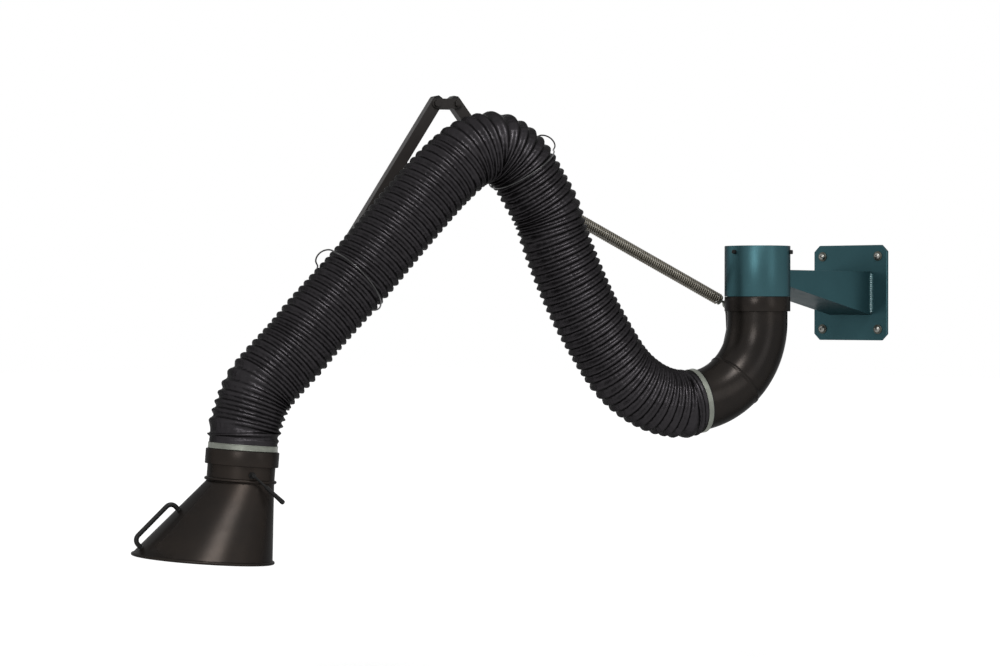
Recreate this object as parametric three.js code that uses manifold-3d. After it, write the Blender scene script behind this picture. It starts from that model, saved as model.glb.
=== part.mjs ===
// Fume extraction arm for a workshop wall: a swivelling duct elbow, a spring balanced two section arm,
// a ribbed hose carried on the arm, and a tilting, turning hood with a damper.
// Millimetres, +Z up. The origin is the centre of the wall plate's back face and the wall lies at +Y.
import * as THREE from "three";
import { mergeVertices } from "three/addons/utils/BufferGeometryUtils.js";
import Module from "manifold-3d";

const wasm = await Module();
wasm.setup();

// Shared values
const GAP = 0.3; // seating gap between pieces that touch
const RUN_GAP = 0.6; // running gap between pieces that turn on each other
const SHEET = 2; // sheet metal of the duct and the hood
const DUCT_R = 80; // outside radius of the duct, a 160 mm nominal size
const ROUND = 30; // facets of a large round piece
const SMALL_ROUND = 12; // facets of a bolt or pin

// Wall bracket
const PLATE_WIDE = 236;
const PLATE_TALL = 266;
const PLATE_THICK = 10;
const PLATE_CHAMFER = 18;
const BOLT_WIDE = 180; // between bolts, along the wall
const BOLT_TALL = 204; // between bolts, up the wall
const BOLT_R = 6;
const BOLT_HEAD_R = 9.5;
const BOLT_HEAD_TALL = 8;
const WASHER_R = 13;
const WASHER_THICK = 2.5;
const AXIS_OUT = 480; // wall to swivel axis
const BOX_WIDTH = 136;
const BOX_TOP = 59;
const BOX_END_LOW = 8; // underside of the box at the spigot
const BOX_ROOT_LOW = -62; // underside of the box at the plate
const BOX_WALL = 4;

// Top spigot and swivel
const BEARING_WIDE = 7.5; // room for the swivel between the duct and the outside of the spigot
const SPIGOT_R = DUCT_R + BEARING_WIDE;
const SPIGOT_WALL = 2.5;
const SPIGOT_TOP = 122.5;
const SPIGOT_LOW = -12;
const LEDGE_THICK = 6;
const SCREW_COUNT = 3;
const SCREW_FIRST = -99; // degrees about the swivel axis, from +X
const SCREW_Z = 106;
const SCREW_R = 3;
const SCREW_HEAD_R = 5.8;
const SCREW_HEAD_TALL = 8;
const GLIDE_THICK = 5;
const HANGER_TALL = 10;
const SLEEVE_TOP = 20;
const COLLAR_TALL = 39;
const ARM_YAW = 243; // degrees from +X to the arm, as photographed

// Duct elbow: a smooth bend
const ELBOW_START = -79; // height where the bend begins
const ELBOW_BEND_R = 210;
const ELBOW_ANGLE = 80; // degrees turned from straight down
const ELBOW_LENGTHS = 10; // straight lengths that stand for the smooth bend
const ELBOW_TAIL = 42; // straight end inside the hose

// Mechanism, in the arm's own plane: x out along the arm, z up
const MECH_CLEAR = 43; // duct wall to the middle of the bars
const MECH_Y = -DUCT_R - MECH_CLEAR; // the bars run behind the hose
const BAR_SIDE = 30;
const BAR_WALL = 2.5;
const SHOULDER = [205, -320];
const KNUCKLE_LOW = [824, 483];
const KNUCKLE_HIGH = [881, 482];
const WRIST = [1455, -408];
const CAP_LONG = 12; // end cap beyond the tube
const CAP_CHAMFER = 9;
const BAR_OVER = 10; // tube beyond each pivot
const PIVOT_R = 8;
const PIVOT_HEAD_R = 10;
const PIVOT_HEAD_TALL = 9;
const DISC_R = 17;
const DISC_THICK = 4.5;
const LINK_THICK = 4;
const LINK_R = 13;
const SHOULDER_PLATE_THICK = 8;
const SHOULDER_EYE_R = 24;

// Balance spring
const SPRING_ANCHOR = [25, -32];
const SPRING_TIP = [585, 248];
const SPRING_MEAN_R = 13.7;
const SPRING_WIRE_R = 2.2;
const SPRING_CURLS = 88;
const SPRING_STEPS = 5; // per curl
const SPRING_SIDES = 4;
const SPRING_END_LOW = 28; // lower eye to first curl
const SPRING_END_HIGH = 50; // last curl to upper eye, clear of the lug
const SPRING_FLANGE = 3; // the first curl sits on the eye's flange
const EYE_R = 12;
const EYE_THICK = 8;
const ANCHOR_PIN_R = 5;
const LUG_THICK = 6;
const LUG_R = 34;

// Hose
const HOSE_SIDES = 10;
const HOSE_PITCH = 20;
const HOSE_WALL = 1.4;
const HOSE_RIB = 4.4; // crest above valley
const HOSE_BORE_STEP = 5; // ribs between bore rings
const CLAMP_WIDE = 14;
const CLAMP_THICK = 2;
const LOWER_CLAMP_TURN = 70; // degrees about the hose to the clamp screw
const UPPER_CLAMP_TURN = -60;
const HOOP_WIRE_R = 2;
const HOOP_CLEAR = 1;
const HOOP_LOOP_OUT = 20;
const HOOP_LOOP_HALF = 21;
const HOOP_SIDES = 6;
// Waypoints of the hose's centre line between the elbow and the hood
const HOSE_ROUTE = [
  [292, -284],
  [352, -255],
  [404, -212],
  [438, -168],
  [474, -113],
  [512, -50],
  [544, 13],
  [573, 77],
  [598, 140],
  [620, 203],
  [655, 262],
  [697, 324],
  [727, 351],
  [765, 368],
  [801, 363],
  [844, 344],
  [884, 311],
  [917, 281],
  [1020, 170],
  [1138, 37],
  [1196, -23],
  [1253, -83],
  [1304, -142],
  [1372, -212],
  [1403, -251],
];
const HOSE_SPLITS = [0.4, 0.72]; // shares of the hose's length carried by each section
const HOOP_SHARES = [0.433, 0.745];

// Hood, in its own frame at the wrist ring: z up the neck, x away from the wall
const RING_CENTRE = [1441, -405];
const HOOD_TILT = -4.7;
const RING_WIDE = 10.5; // duct wall to the outside of the ring
const RING_R = DUCT_R + RING_WIDE;
const RING_TALL = 28;
const BOSS_R = 14;
const BOSS_IN = 3; // depth of the boss in the ring
const KNOB_R = 18;
const KNOB_TALL = 15;
const NECK_STEP = 3; // the neck is this much wider than the duct
const NECK_R = DUCT_R + NECK_STEP;
const NECK_LOW = -58;
const SPIGOT_UP = 54; // hose spigot above the ring's middle
const SPIGOT_DOWN = 26;
const BEAD_OUT = 6.5;
const BEAD_TALL = 9;
const MOUTH_R = 169;
const MOUTH_Z = -256;
const MOUTH_OFFSET = 80;
const LIP_OUT = 5;
const LIP_TALL = 8;
const HANDLE_R = 6;
const HANDLE_OUT = 27;
const HANDLE_FROM = 102; // along the hood's front slope
const HANDLE_TO = 231;
const HANDLE_ROUND = 16;

// Damper
const AXLE_Z = -42;
const AXLE_R = 4;
const BLADE_CLEAR = 4; // blade edge to the hose spigot it stands in when open
const BLADE_R = DUCT_R - SHEET - BLADE_CLEAR;
const BLADE_THICK = 2;
const LEVER_LONG = 104;
const LEVER_R = 3;
const LEVER_ANGLE = 37; // degrees below level, towards the wall
const BLADE_LEAD = 40; // degrees of the blade ahead of the lever, shut with the lever this far above level
const GRIP_R = 5.2;
const GRIP_LONG = 62;
const AXLE_OUT = 12;

const rad = THREE.MathUtils.degToRad;
const vec = (x, y, z) => new THREE.Vector3(x, y, z);

const paint = (name, color, metalness, roughness) =>
  new THREE.MeshStandardMaterial({ name, color, metalness, roughness });
const teal = paint("teal_paint", 0x2f8f8c, 0.1, 0.45);
const black = paint("black_paint", 0x1c1a19, 0.2, 0.5);
const zinc = paint("zinc", 0xa9a79c, 0.9, 0.35);
const rubber = paint("hose_fabric", 0x17171a, 0, 0.6);
const plastic = paint("black_plastic", 0x121212, 0, 0.55);
const pale = paint("pale_plastic", 0xcfcabb, 0, 0.5);

// Geometry helpers
function toSolid(geometry) {
  const flat = geometry.clone();
  flat.deleteAttribute("normal");
  flat.deleteAttribute("uv");
  const merged = mergeVertices(flat, 1e-3);
  const body = new wasm.Mesh({
    numProp: 3,
    vertProperties: new Float32Array(merged.attributes.position.array),
    triVerts: new Uint32Array(merged.index.array),
  });
  return new wasm.Manifold(body);
}

function toGeometry(solid) {
  const body = solid.getMesh();
  const geometry = new THREE.BufferGeometry();
  const places = new Float32Array(body.vertProperties);
  geometry.setAttribute("position", new THREE.BufferAttribute(places, 3));
  geometry.setIndex(new THREE.BufferAttribute(new Uint32Array(body.triVerts), 1));
  return geometry;
}

function join(...parts) {
  return toGeometry(parts.map(toSolid).reduce((a, b) => a.add(b)));
}

function cut(part, ...tools) {
  return toGeometry(tools.map(toSolid).reduce((a, b) => a.subtract(b), toSolid(part)));
}

// Skins a row of equal rings of points. A looped row closes on itself, an open one is capped.
function skin(rings, looped) {
  const count = rings[0].length;
  const places = [];
  for (const ring of rings) {
    for (const point of ring) {
      places.push(point.x, point.y, point.z);
    }
  }
  const faces = [];
  const last = looped ? rings.length : rings.length - 1;
  for (let i = 0; i < last; i += 1) {
    const here = i * count;
    const next = ((i + 1) % rings.length) * count;
    for (let j = 0; j < count; j += 1) {
      const k = (j + 1) % count;
      faces.push(here + j, here + k, next + j);
      faces.push(here + k, next + k, next + j);
    }
  }
  if (!looped) {
    const tail = (rings.length - 1) * count;
    for (let j = 1; j < count - 1; j += 1) {
      faces.push(0, j + 1, j);
      faces.push(tail, tail + j, tail + j + 1);
    }
  }
  let volume = 0;
  const at = (i) => vec(places[3 * i], places[3 * i + 1], places[3 * i + 2]);
  for (let i = 0; i < faces.length; i += 3) {
    volume += at(faces[i]).dot(at(faces[i + 1]).cross(at(faces[i + 2])));
  }
  if (volume < 0) {
    for (let i = 0; i < faces.length; i += 3) {
      [faces[i + 1], faces[i + 2]] = [faces[i + 2], faces[i + 1]];
    }
  }
  const geometry = new THREE.BufferGeometry();
  geometry.setAttribute("position", new THREE.Float32BufferAttribute(places, 3));
  geometry.setIndex(faces);
  return geometry;
}

// A ring of points about a centre, spanned by two directions.
function ringAt(centre, across, up, radius, sides, turn = 0) {
  return Array.from({ length: sides }, (_, i) => {
    const a = turn + (2 * Math.PI * i) / sides;
    const side = across.clone().multiplyScalar(radius * Math.cos(a));
    return side.addScaledVector(up, radius * Math.sin(a)).add(centre);
  });
}

// A round rod along a row of points, open or looped, with frames carried along without twist.
function rod(points, radius, sides, looped = false) {
  const count = points.length;
  const tangents = points.map((_, i) => {
    const before = looped ? points[(i + count - 1) % count] : points[Math.max(i - 1, 0)];
    const after = looped ? points[(i + 1) % count] : points[Math.min(i + 1, count - 1)];
    return after.clone().sub(before).normalize();
  });
  const start = Math.abs(tangents[0].z) < 0.9 ? vec(0, 0, 1) : vec(1, 0, 0);
  const across = [start.cross(tangents[0]).normalize()];
  for (let i = 1; i < count; i += 1) {
    const carried = across[i - 1].clone();
    carried.addScaledVector(tangents[i], -carried.dot(tangents[i]));
    across.push(carried.normalize());
  }
  let slip = 0;
  if (looped) {
    const end = across[count - 1].clone();
    end.addScaledVector(tangents[0], -end.dot(tangents[0])).normalize();
    const sense = end.clone().cross(across[0]).dot(tangents[0]);
    slip = Math.atan2(sense, end.dot(across[0]));
  }
  const rings = points.map((point, i) => {
    const up = tangents[i].clone().cross(across[i]);
    return ringAt(point, across[i], up, radius, sides, (slip * i) / count);
  });
  return skin(rings, looped);
}

// A turned piece about Z from [radius, height] pairs, hollow from a closed outline or capped at its ends.
function turned(outline, sides = ROUND, hollow = true) {
  const level = ([r, z]) => ringAt(vec(0, 0, z), vec(1, 0, 0), vec(0, 1, 0), r, sides, Math.PI / sides);
  const rings = outline.map(level);
  return skin(rings, hollow);
}

function tubeRing(outer, inner, low, high, sides = ROUND) {
  return turned([[outer, low], [outer, high], [inner, high], [inner, low]], sides);
}

// A solid drum about Z.
function drum(radius, low, high, sides = ROUND) {
  return turned([[radius, low], [radius, high]], sides, false);
}

function box(x0, x1, y0, y1, z0, z1) {
  const made = new THREE.BoxGeometry(x1 - x0, y1 - y0, z1 - z0);
  return made.translate((x0 + x1) / 2, (y0 + y1) / 2, (z0 + z1) / 2);
}

// A pin along Y at a place in the arm's plane.
function pinY(place, radius, from, to, sides = SMALL_ROUND) {
  const made = new THREE.CylinderGeometry(radius, radius, Math.abs(to - from), sides);
  return made.translate(place[0], (from + to) / 2, place[1]);
}

// Points of an arc in the arm's plane, angles in radians.
function arc(place, radius, from, to, steps) {
  return Array.from({ length: steps + 1 }, (_, i) => {
    const a = from + ((to - from) * i) / steps;
    return [place[0] + radius * Math.cos(a), place[1] + radius * Math.sin(a)];
  });
}

// A flat plate in the arm's plane, between two Y values, from corners in x and z and round holes.
function plateY(corners, holes, from, to) {
  const toPoint = ([x, z]) => new THREE.Vector2(x, z);
  const shape = new THREE.Shape(corners.map(toPoint));
  holes.forEach(([place, radius]) => {
    const round = arc(place, radius, 0, (2 * Math.PI * (SMALL_ROUND - 1)) / SMALL_ROUND, SMALL_ROUND - 1);
    shape.holes.push(new THREE.Path(round.map(toPoint)));
  });
  const options = { depth: Math.abs(to - from), bevelEnabled: false };
  const made = new THREE.ExtrudeGeometry(shape, options);
  return made.rotateX(Math.PI / 2).translate(0, Math.max(from, to), 0);
}

const along = (from, to) => vec(to[0] - from[0], 0, to[1] - from[1]);
const reach = (from, to) => along(from, to).length();
const slope = (from, to) => Math.atan2(to[1] - from[1], to[0] - from[0]);

// Groups: the fixed bracket, the arm turned about the swivel axis, and the tilted hood
const root = new THREE.Group();
const fixed = new THREE.Group();
const arm = new THREE.Group();
const hood = new THREE.Group();
root.add(fixed, arm);
arm.add(hood);
arm.position.set(0, -AXIS_OUT, 0);
arm.rotation.z = rad(ARM_YAW);
hood.position.set(RING_CENTRE[0], 0, RING_CENTRE[1]);
hood.rotation.y = rad(HOOD_TILT);

function add(group, name, geometry, material) {
  const mesh = new THREE.Mesh(geometry, material);
  mesh.name = name;
  group.add(mesh);
  return mesh;
}

// Wall plate with chamfered corners and four bolt holes
const plateX = PLATE_WIDE / 2;
const plateZ = PLATE_TALL / 2;
const trimX = plateX - PLATE_CHAMFER;
const trimZ = plateZ - PLATE_CHAMFER;
const outline = [
  [-trimX, -plateZ],
  [trimX, -plateZ],
  [plateX, -trimZ],
  [plateX, trimZ],
  [trimX, plateZ],
  [-trimX, plateZ],
  [-plateX, trimZ],
  [-plateX, -trimZ],
];
const boltSigns = [-1, 1].flatMap((sx) => [-1, 1].map((sz) => [sx, sz]));
const boltPlaces = boltSigns.map(([sx, sz]) => [(sx * BOLT_WIDE) / 2, (sz * BOLT_TALL) / 2]);
const boltHoles = boltPlaces.map((place) => [place, BOLT_R + GAP + 0.2]);
add(fixed, "wall_plate", plateY(outline, boltHoles, -PLATE_THICK, 0), teal);

// Wall bolts: a domed head on its washer, with the shank inside the plate
boltPlaces.forEach((place, i) => {
  const washerTop = GAP + WASHER_THICK;
  const profile = [
    [BOLT_R, -PLATE_THICK + 1],
    [BOLT_R, GAP],
    [WASHER_R, GAP],
    [WASHER_R, washerTop],
    [BOLT_HEAD_R, washerTop],
    [BOLT_HEAD_R, washerTop + 0.55 * BOLT_HEAD_TALL],
    [0.7 * BOLT_HEAD_R, washerTop + 0.9 * BOLT_HEAD_TALL],
    [0.3 * BOLT_HEAD_R, washerTop + BOLT_HEAD_TALL],
  ];
  const bolt = turned(profile, SMALL_ROUND, false).rotateX(Math.PI / 2);
  bolt.translate(place[0], -PLATE_THICK, place[1]);
  add(fixed, `wall_bolt_${i + 1}`, bolt, zinc);
});

// Tapered box between the plate and the spigot, open at both ends
const boxRoot = -PLATE_THICK - GAP;
const boxTip = -AXIS_OUT;
function boxSolid(inset) {
  const fall = (BOX_END_LOW - BOX_ROOT_LOW) / (boxRoot - (-AXIS_OUT + SPIGOT_R));
  const side = new THREE.Shape();
  const tail = inset > 0 ? 1 : 0;
  side.moveTo(boxRoot + tail, BOX_TOP - inset);
  side.lineTo(boxTip - tail, BOX_TOP - inset);
  side.lineTo(boxTip - tail, BOX_END_LOW + fall * (SPIGOT_R + tail) + inset);
  side.lineTo(boxRoot + tail, BOX_ROOT_LOW - fall * tail + inset);
  side.closePath();
  const width = BOX_WIDTH - 2 * inset;
  const made = new THREE.ExtrudeGeometry(side, { depth: width, bevelEnabled: false });
  made.applyMatrix4(new THREE.Matrix4().set(0, 0, 1, 0, 1, 0, 0, 0, 0, 1, 0, 0, 0, 0, 0, 1));
  return made.translate(-width / 2, 0, 0);
}
const spigotCore = drum(SPIGOT_R + GAP, -200, 200).translate(0, -AXIS_OUT, 0);
add(fixed, "bracket_box", cut(boxSolid(0), boxSolid(BOX_WALL), spigotCore), teal);

// Top spigot with the ledge that carries the swivel
const ledgeTop = SPIGOT_LOW + LEDGE_THICK;
const ledgeR = DUCT_R + 2.5;
const spigotBore = SPIGOT_R - SPIGOT_WALL;
const spigotBody = turned([
  [SPIGOT_R, SPIGOT_LOW],
  [SPIGOT_R, SPIGOT_TOP],
  [spigotBore, SPIGOT_TOP],
  [spigotBore, ledgeTop],
  [ledgeR, ledgeTop],
  [ledgeR, SPIGOT_LOW],
]);
const screwAngles = Array.from({ length: SCREW_COUNT }, (_, i) => rad(SCREW_FIRST + (360 * i) / SCREW_COUNT));
const radialPin = (radius, from, to, angle, z, sides) =>
  new THREE.CylinderGeometry(radius, radius, to - from, sides)
    .rotateZ(-Math.PI / 2)
    .translate((from + to) / 2, 0, z)
    .rotateZ(angle);
const screwHoles = screwAngles.map((a) =>
  radialPin(SCREW_R + GAP, SPIGOT_R - 8, SPIGOT_R + 4, a, SCREW_Z, SMALL_ROUND),
);
add(fixed, "top_spigot", cut(spigotBody, ...screwHoles).translate(0, -AXIS_OUT, 0), teal);
screwAngles.forEach((a, i) => {
  const head = radialPin(SCREW_HEAD_R, SPIGOT_R + GAP, SPIGOT_R + SCREW_HEAD_TALL, a, SCREW_Z, 6);
  const shank = radialPin(SCREW_R, SPIGOT_R - 7, SPIGOT_R + 2, a, SCREW_Z, SMALL_ROUND);
  add(fixed, `spigot_screw_${i + 1}`, join(head, shank).translate(0, -AXIS_OUT, 0), zinc);
});

// Swivel bearing: a glide ring on the ledge and the hanger ring that rests on it
const bearingIn = DUCT_R + GAP;
const bearingOut = spigotBore - RUN_GAP;
const glideLow = ledgeTop + GAP;
const hangerLow = glideLow + GLIDE_THICK + GAP;
const glide = tubeRing(bearingOut, bearingIn + RUN_GAP, glideLow, glideLow + GLIDE_THICK);
add(fixed, "glide_ring", glide.translate(0, -AXIS_OUT, 0), pale);
const hangerRing = tubeRing(bearingOut, bearingIn, hangerLow, hangerLow + HANGER_TALL);
add(arm, "hanger_ring", hangerRing, zinc);
const collarTop = SPIGOT_LOW - RUN_GAP;
const collarLow = collarTop - COLLAR_TALL;
add(arm, "swivel_collar", tubeRing(SPIGOT_R, bearingIn, collarLow, collarTop), black);

// Duct elbow: short straight lengths round the bend
const turnOf = (angle) => vec(Math.sin(angle), 0, -Math.cos(angle));
const elbowCentre = vec(ELBOW_BEND_R, 0, ELBOW_START);
const onBend = (angle, r) => vec(-r * Math.cos(angle), 0, -r * Math.sin(angle)).add(elbowCentre);
const elbowEnd = rad(ELBOW_ANGLE);
const seamStep = elbowEnd / (ELBOW_LENGTHS - 1);
const seams = Array.from({ length: ELBOW_LENGTHS - 1 }, (_, i) => (i + 0.5) * seamStep);
const seamR = ELBOW_BEND_R / Math.cos(seamStep / 2);
const ductDir = turnOf(elbowEnd);
const ductMouth = onBend(elbowEnd, ELBOW_BEND_R).addScaledVector(ductDir, ELBOW_TAIL);
const ductTurn = Math.PI / ROUND;
function elbowRings(radius) {
  const ySide = vec(0, 1, 0);
  const rings = [ringAt(vec(0, 0, SLEEVE_TOP), vec(1, 0, 0), ySide, radius, ROUND, ductTurn)];
  seams.forEach((angle) => {
    const wide = vec(Math.cos(angle), 0, Math.sin(angle));
    wide.multiplyScalar(1 / Math.cos(seamStep / 2));
    rings.push(ringAt(onBend(angle, seamR), wide, ySide, radius, ROUND, ductTurn));
  });
  const wideEnd = vec(Math.cos(elbowEnd), 0, Math.sin(elbowEnd));
  rings.push(ringAt(ductMouth, wideEnd, ySide, radius, ROUND, ductTurn));
  return rings;
}
const elbow = skin([...elbowRings(DUCT_R), ...elbowRings(DUCT_R - SHEET).reverse()], true);
add(arm, "duct_elbow", elbow, black);

// Hose route: from the end of the duct, through the waypoints, down onto the hood's spigot
const flat = (p) => vec(p[0], 0, p[1]);
const hoodUp = vec(Math.sin(rad(HOOD_TILT)), 0, Math.cos(rad(HOOD_TILT)));
const hoseStart = ductMouth.clone().addScaledVector(ductDir, -ELBOW_TAIL + 2);
const hoseEnd = flat(RING_CENTRE).addScaledVector(hoodUp, RING_TALL / 2 + 1);
const spigotIn = SPIGOT_UP - RING_TALL / 2 - 1;
const STRAIGHT_ON = 12; // the hose stays straight this far past each spigot
const startStops = [0, 0.5, 1].map((s) => s * ELBOW_TAIL).concat(ELBOW_TAIL + STRAIGHT_ON);
const endStops = [0, 0.5, 1].map((s) => s * spigotIn).concat(spigotIn + STRAIGHT_ON);
const route = new THREE.CatmullRomCurve3(
  [
    ...startStops.map((s) => hoseStart.clone().addScaledVector(ductDir, s)),
    ...HOSE_ROUTE.map(flat),
    ...endStops.reverse().map((s) => hoseEnd.clone().addScaledVector(hoodUp, s)),
  ],
  false,
  "centripetal",
);
route.arcLengthDivisions = 2000;
const hoseLong = route.getLength();
const facet = Math.cos(Math.PI / HOSE_SIDES);
const hoseBore = (DUCT_R + RUN_GAP) / facet;
const hoseValley = hoseBore + HOSE_WALL;
const hoseCrest = hoseValley + HOSE_RIB;
function hoseRing(share, radius) {
  const centre = route.getPointAt(THREE.MathUtils.clamp(share, 0, 1));
  const ahead = route.getTangentAt(THREE.MathUtils.clamp(share, 0, 1));
  const across = vec(-ahead.z, 0, ahead.x);
  return ringAt(centre, across, vec(0, 1, 0), radius, HOSE_SIDES, Math.PI / HOSE_SIDES);
}
function hosePiece(from, to) {
  const ribs = Math.round(((to - from) * hoseLong) / HOSE_PITCH);
  const share = (i) => from + ((to - from) * i) / ribs;
  const rings = [];
  for (let i = 0; i < ribs; i += 1) {
    rings.push(hoseRing(share(i), hoseValley));
    rings.push(hoseRing(share(i + 0.5), hoseCrest));
  }
  rings.push(hoseRing(to, hoseValley));
  const boreFrom = from === 0 ? (ELBOW_TAIL + STRAIGHT_ON / 2) / hoseLong : from;
  const boreTo = to === 1 ? 1 - (spigotIn + STRAIGHT_ON / 2) / hoseLong : to;
  const bores = Math.ceil(ribs / HOSE_BORE_STEP);
  const boreShares = Array.from({ length: bores + 1 }, (_, i) => boreFrom + ((boreTo - boreFrom) * i) / bores);
  const ends = [from, to].filter((share) => !boreShares.includes(share));
  [...boreShares, ...ends].sort((a, b) => b - a).forEach((s) => rings.push(hoseRing(s, hoseBore)));
  return { geometry: skin(rings, true), ribs };
}
const hoseCuts = [0, ...HOSE_SPLITS, 1];
const hoseNames = ["hose_shoulder", "hose_elbow", "hose_wrist"];
let ribCount = 0;
hoseNames.forEach((name, i) => {
  const from = hoseCuts[i] + (i > 0 ? GAP / hoseLong : 0);
  const piece = hosePiece(from, hoseCuts[i + 1]);
  ribCount += piece.ribs;
  add(arm, name, piece.geometry, rubber);
});

// Hose clamps: a band with its screw housing, at each end of the hose
const bandIn = hoseCrest + GAP;
const bandOut = bandIn + CLAMP_THICK;
function clampAt(group, name, turn, matrix) {
  const low = -CLAMP_WIDE / 2;
  const high = CLAMP_WIDE / 2;
  const band = tubeRing(bandOut, bandIn, low, high, ROUND);
  const housing = box(-13, 13, -bandOut - 9, -bandIn - 1, low - 2, high + 2);
  const core = drum(bandIn + 0.01, -40, 40);
  const body = join(band, cut(housing, core));
  add(group, name, body.rotateZ(rad(turn)).applyMatrix4(matrix), zinc);
}
const clampTilt = new THREE.Matrix4().makeRotationY(Math.PI - elbowEnd);
const clampPlace = hoseStart.clone().addScaledVector(ductDir, CLAMP_WIDE / 2 + 4);
clampAt(arm, "lower_hose_clamp", LOWER_CLAMP_TURN, clampTilt.setPosition(clampPlace));
const upperClampZ = RING_TALL / 2 + 1 + CLAMP_WIDE / 2 + 1;
const upperClampPlace = new THREE.Matrix4().makeTranslation(0, 0, upperClampZ);
clampAt(hood, "upper_hose_clamp", UPPER_CLAMP_TURN, upperClampPlace);

// Bars: square tubes with chamfered end caps
const barFront = MECH_Y + BAR_SIDE / 2;
const barBack = MECH_Y - BAR_SIDE / 2;
function barShape(from, to, side) {
  const long = reach(from, to);
  const made = new THREE.BoxGeometry(long, side, side).translate(long / 2, 0, 0);
  return made.rotateY(-slope(from, to)).translate(from[0], MECH_Y, from[1]);
}
function bar(name, from, to) {
  const way = along(from, to).normalize();
  const on = (place, t) => [place[0] + t * way.x, place[1] + t * way.z];
  const tube = barShape(on(from, -BAR_OVER), on(to, BAR_OVER), BAR_SIDE);
  const bore = barShape(on(from, -2 * BAR_OVER), on(to, 2 * BAR_OVER), BAR_SIDE - 2 * BAR_WALL);
  const holes = [from, to].map((p) => pinY(p, PIVOT_R + GAP, barBack - 2, barFront + 2));
  add(arm, name, cut(tube, bore, ...holes), black);
}
// A cap closes a bar's end, its nose chamfered both ways.
function cap(name, pivot, other) {
  const h = BAR_SIDE / 2;
  const nose = [
    [GAP, -h],
    [CAP_LONG - CAP_CHAMFER, -h],
    [CAP_LONG, -h + CAP_CHAMFER],
    [CAP_LONG, h - CAP_CHAMFER],
    [CAP_LONG - CAP_CHAMFER, h],
    [GAP, h],
  ];
  const made = plateY(nose, [], -h, h);
  const outward = along(other, pivot).normalize();
  made.rotateY(-Math.atan2(outward.z, outward.x));
  made.translate(pivot[0] + BAR_OVER * outward.x, MECH_Y, pivot[1] + BAR_OVER * outward.z);
  add(arm, name, made, plastic);
}
function barWithCaps(name, from, to, footName, topName) {
  bar(name, from, to);
  cap(footName, from, to);
  cap(topName, to, from);
}
barWithCaps("lower_arm_tube", SHOULDER, KNUCKLE_LOW, "lower_arm_foot_cap", "lower_arm_top_cap");
barWithCaps("forearm_tube", KNUCKLE_HIGH, WRIST, "forearm_top_cap", "forearm_foot_cap");

// Elbow link plates either side of the two bar ends
const linkWay = slope(KNUCKLE_LOW, KNUCKLE_HIGH);
const linkOutline = [
  ...arc(KNUCKLE_LOW, LINK_R, linkWay + Math.PI / 2, linkWay + 1.5 * Math.PI, 8),
  ...arc(KNUCKLE_HIGH, LINK_R, linkWay - Math.PI / 2, linkWay + Math.PI / 2, 8),
];
const linkHoles = [KNUCKLE_LOW, KNUCKLE_HIGH].map((p) => [p, PIVOT_R + GAP]);
const linkFront = barFront + GAP;
const linkBack = barBack - GAP;
add(arm, "elbow_plate_front", plateY(linkOutline, linkHoles, linkFront, linkFront + LINK_THICK), black);
add(arm, "elbow_plate_back", plateY(linkOutline, linkHoles, linkBack - LINK_THICK, linkBack), black);
function pivotBolt(name, place, back, front) {
  const headBack = back - GAP;
  const shank = pinY(place, PIVOT_R, headBack - 1, front);
  const head = pinY(place, PIVOT_HEAD_R, headBack - PIVOT_HEAD_TALL, headBack, 6);
  const nose = front + GAP;
  const nut = pinY(place, PIVOT_HEAD_R - 1, nose, nose + 0.7 * PIVOT_HEAD_TALL, 6);
  const neck = pinY(place, PIVOT_R, front - 1, nose + 1);
  add(arm, name, join(shank, head, neck, nut), zinc);
}
pivotBolt("elbow_bolt_low", KNUCKLE_LOW, linkBack - LINK_THICK, linkFront + LINK_THICK);
pivotBolt("elbow_bolt_high", KNUCKLE_HIGH, linkBack - LINK_THICK, linkFront + LINK_THICK);

// Shoulder plate: hangs from the swivel collar behind the duct, with the arm's pivot and the spring's pin
const discBack = barFront + GAP;
const plateBack = discBack + DISC_THICK + GAP;
const plateFront = plateBack + SHOULDER_PLATE_THICK;
const eyeTurn = slope(SPRING_ANCHOR, SHOULDER);
const shoulderOutline = [
  [-46, collarTop - 2],
  [SPRING_ANCHOR[0] - 20, SPRING_ANCHOR[1] + 18],
  [SPRING_ANCHOR[0] + 10, SPRING_ANCHOR[1] + 18],
  [SPRING_ANCHOR[0] + 20, SPRING_ANCHOR[1] + 6],
  [SPRING_ANCHOR[0] + 15, SPRING_ANCHOR[1] - 30],
  [38, -100],
  [50, -150],
  [104, -226],
  ...arc(SHOULDER, SHOULDER_EYE_R, eyeTurn + 1.7, eyeTurn - 1.7, 10),
  [96, -300],
  [6, -196],
  [-40, -90],
];
const shoulderHoles = [
  [SHOULDER, PIVOT_R + GAP],
  [SPRING_ANCHOR, ANCHOR_PIN_R + GAP],
];
const shoulderSheet = plateY(shoulderOutline, shoulderHoles, plateBack, plateFront);
const saddle = box(-44, 44, plateFront - 0.5, -58, collarLow + 1, collarTop - 3);
const collarCore = drum(SPIGOT_R + GAP, -200, 200);
add(arm, "shoulder_plate", join(cut(shoulderSheet, collarCore), cut(saddle, collarCore)), black);
const discHole = pinY(SHOULDER, PIVOT_R + GAP, discBack - 2, discBack + DISC_THICK + 2);
const disc = pinY(SHOULDER, DISC_R, discBack, discBack + DISC_THICK, 20);
add(arm, "shoulder_disc", cut(disc, discHole), pale);
const shoulderHead = barBack - GAP;
const shoulderBolt = join(
  pinY(SHOULDER, PIVOT_R, shoulderHead - 1, plateFront - 1),
  pinY(SHOULDER, PIVOT_HEAD_R, shoulderHead - PIVOT_HEAD_TALL, shoulderHead, 6),
);
add(arm, "shoulder_bolt", shoulderBolt, zinc);
const eyeBack = MECH_Y - EYE_THICK / 2;
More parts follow.
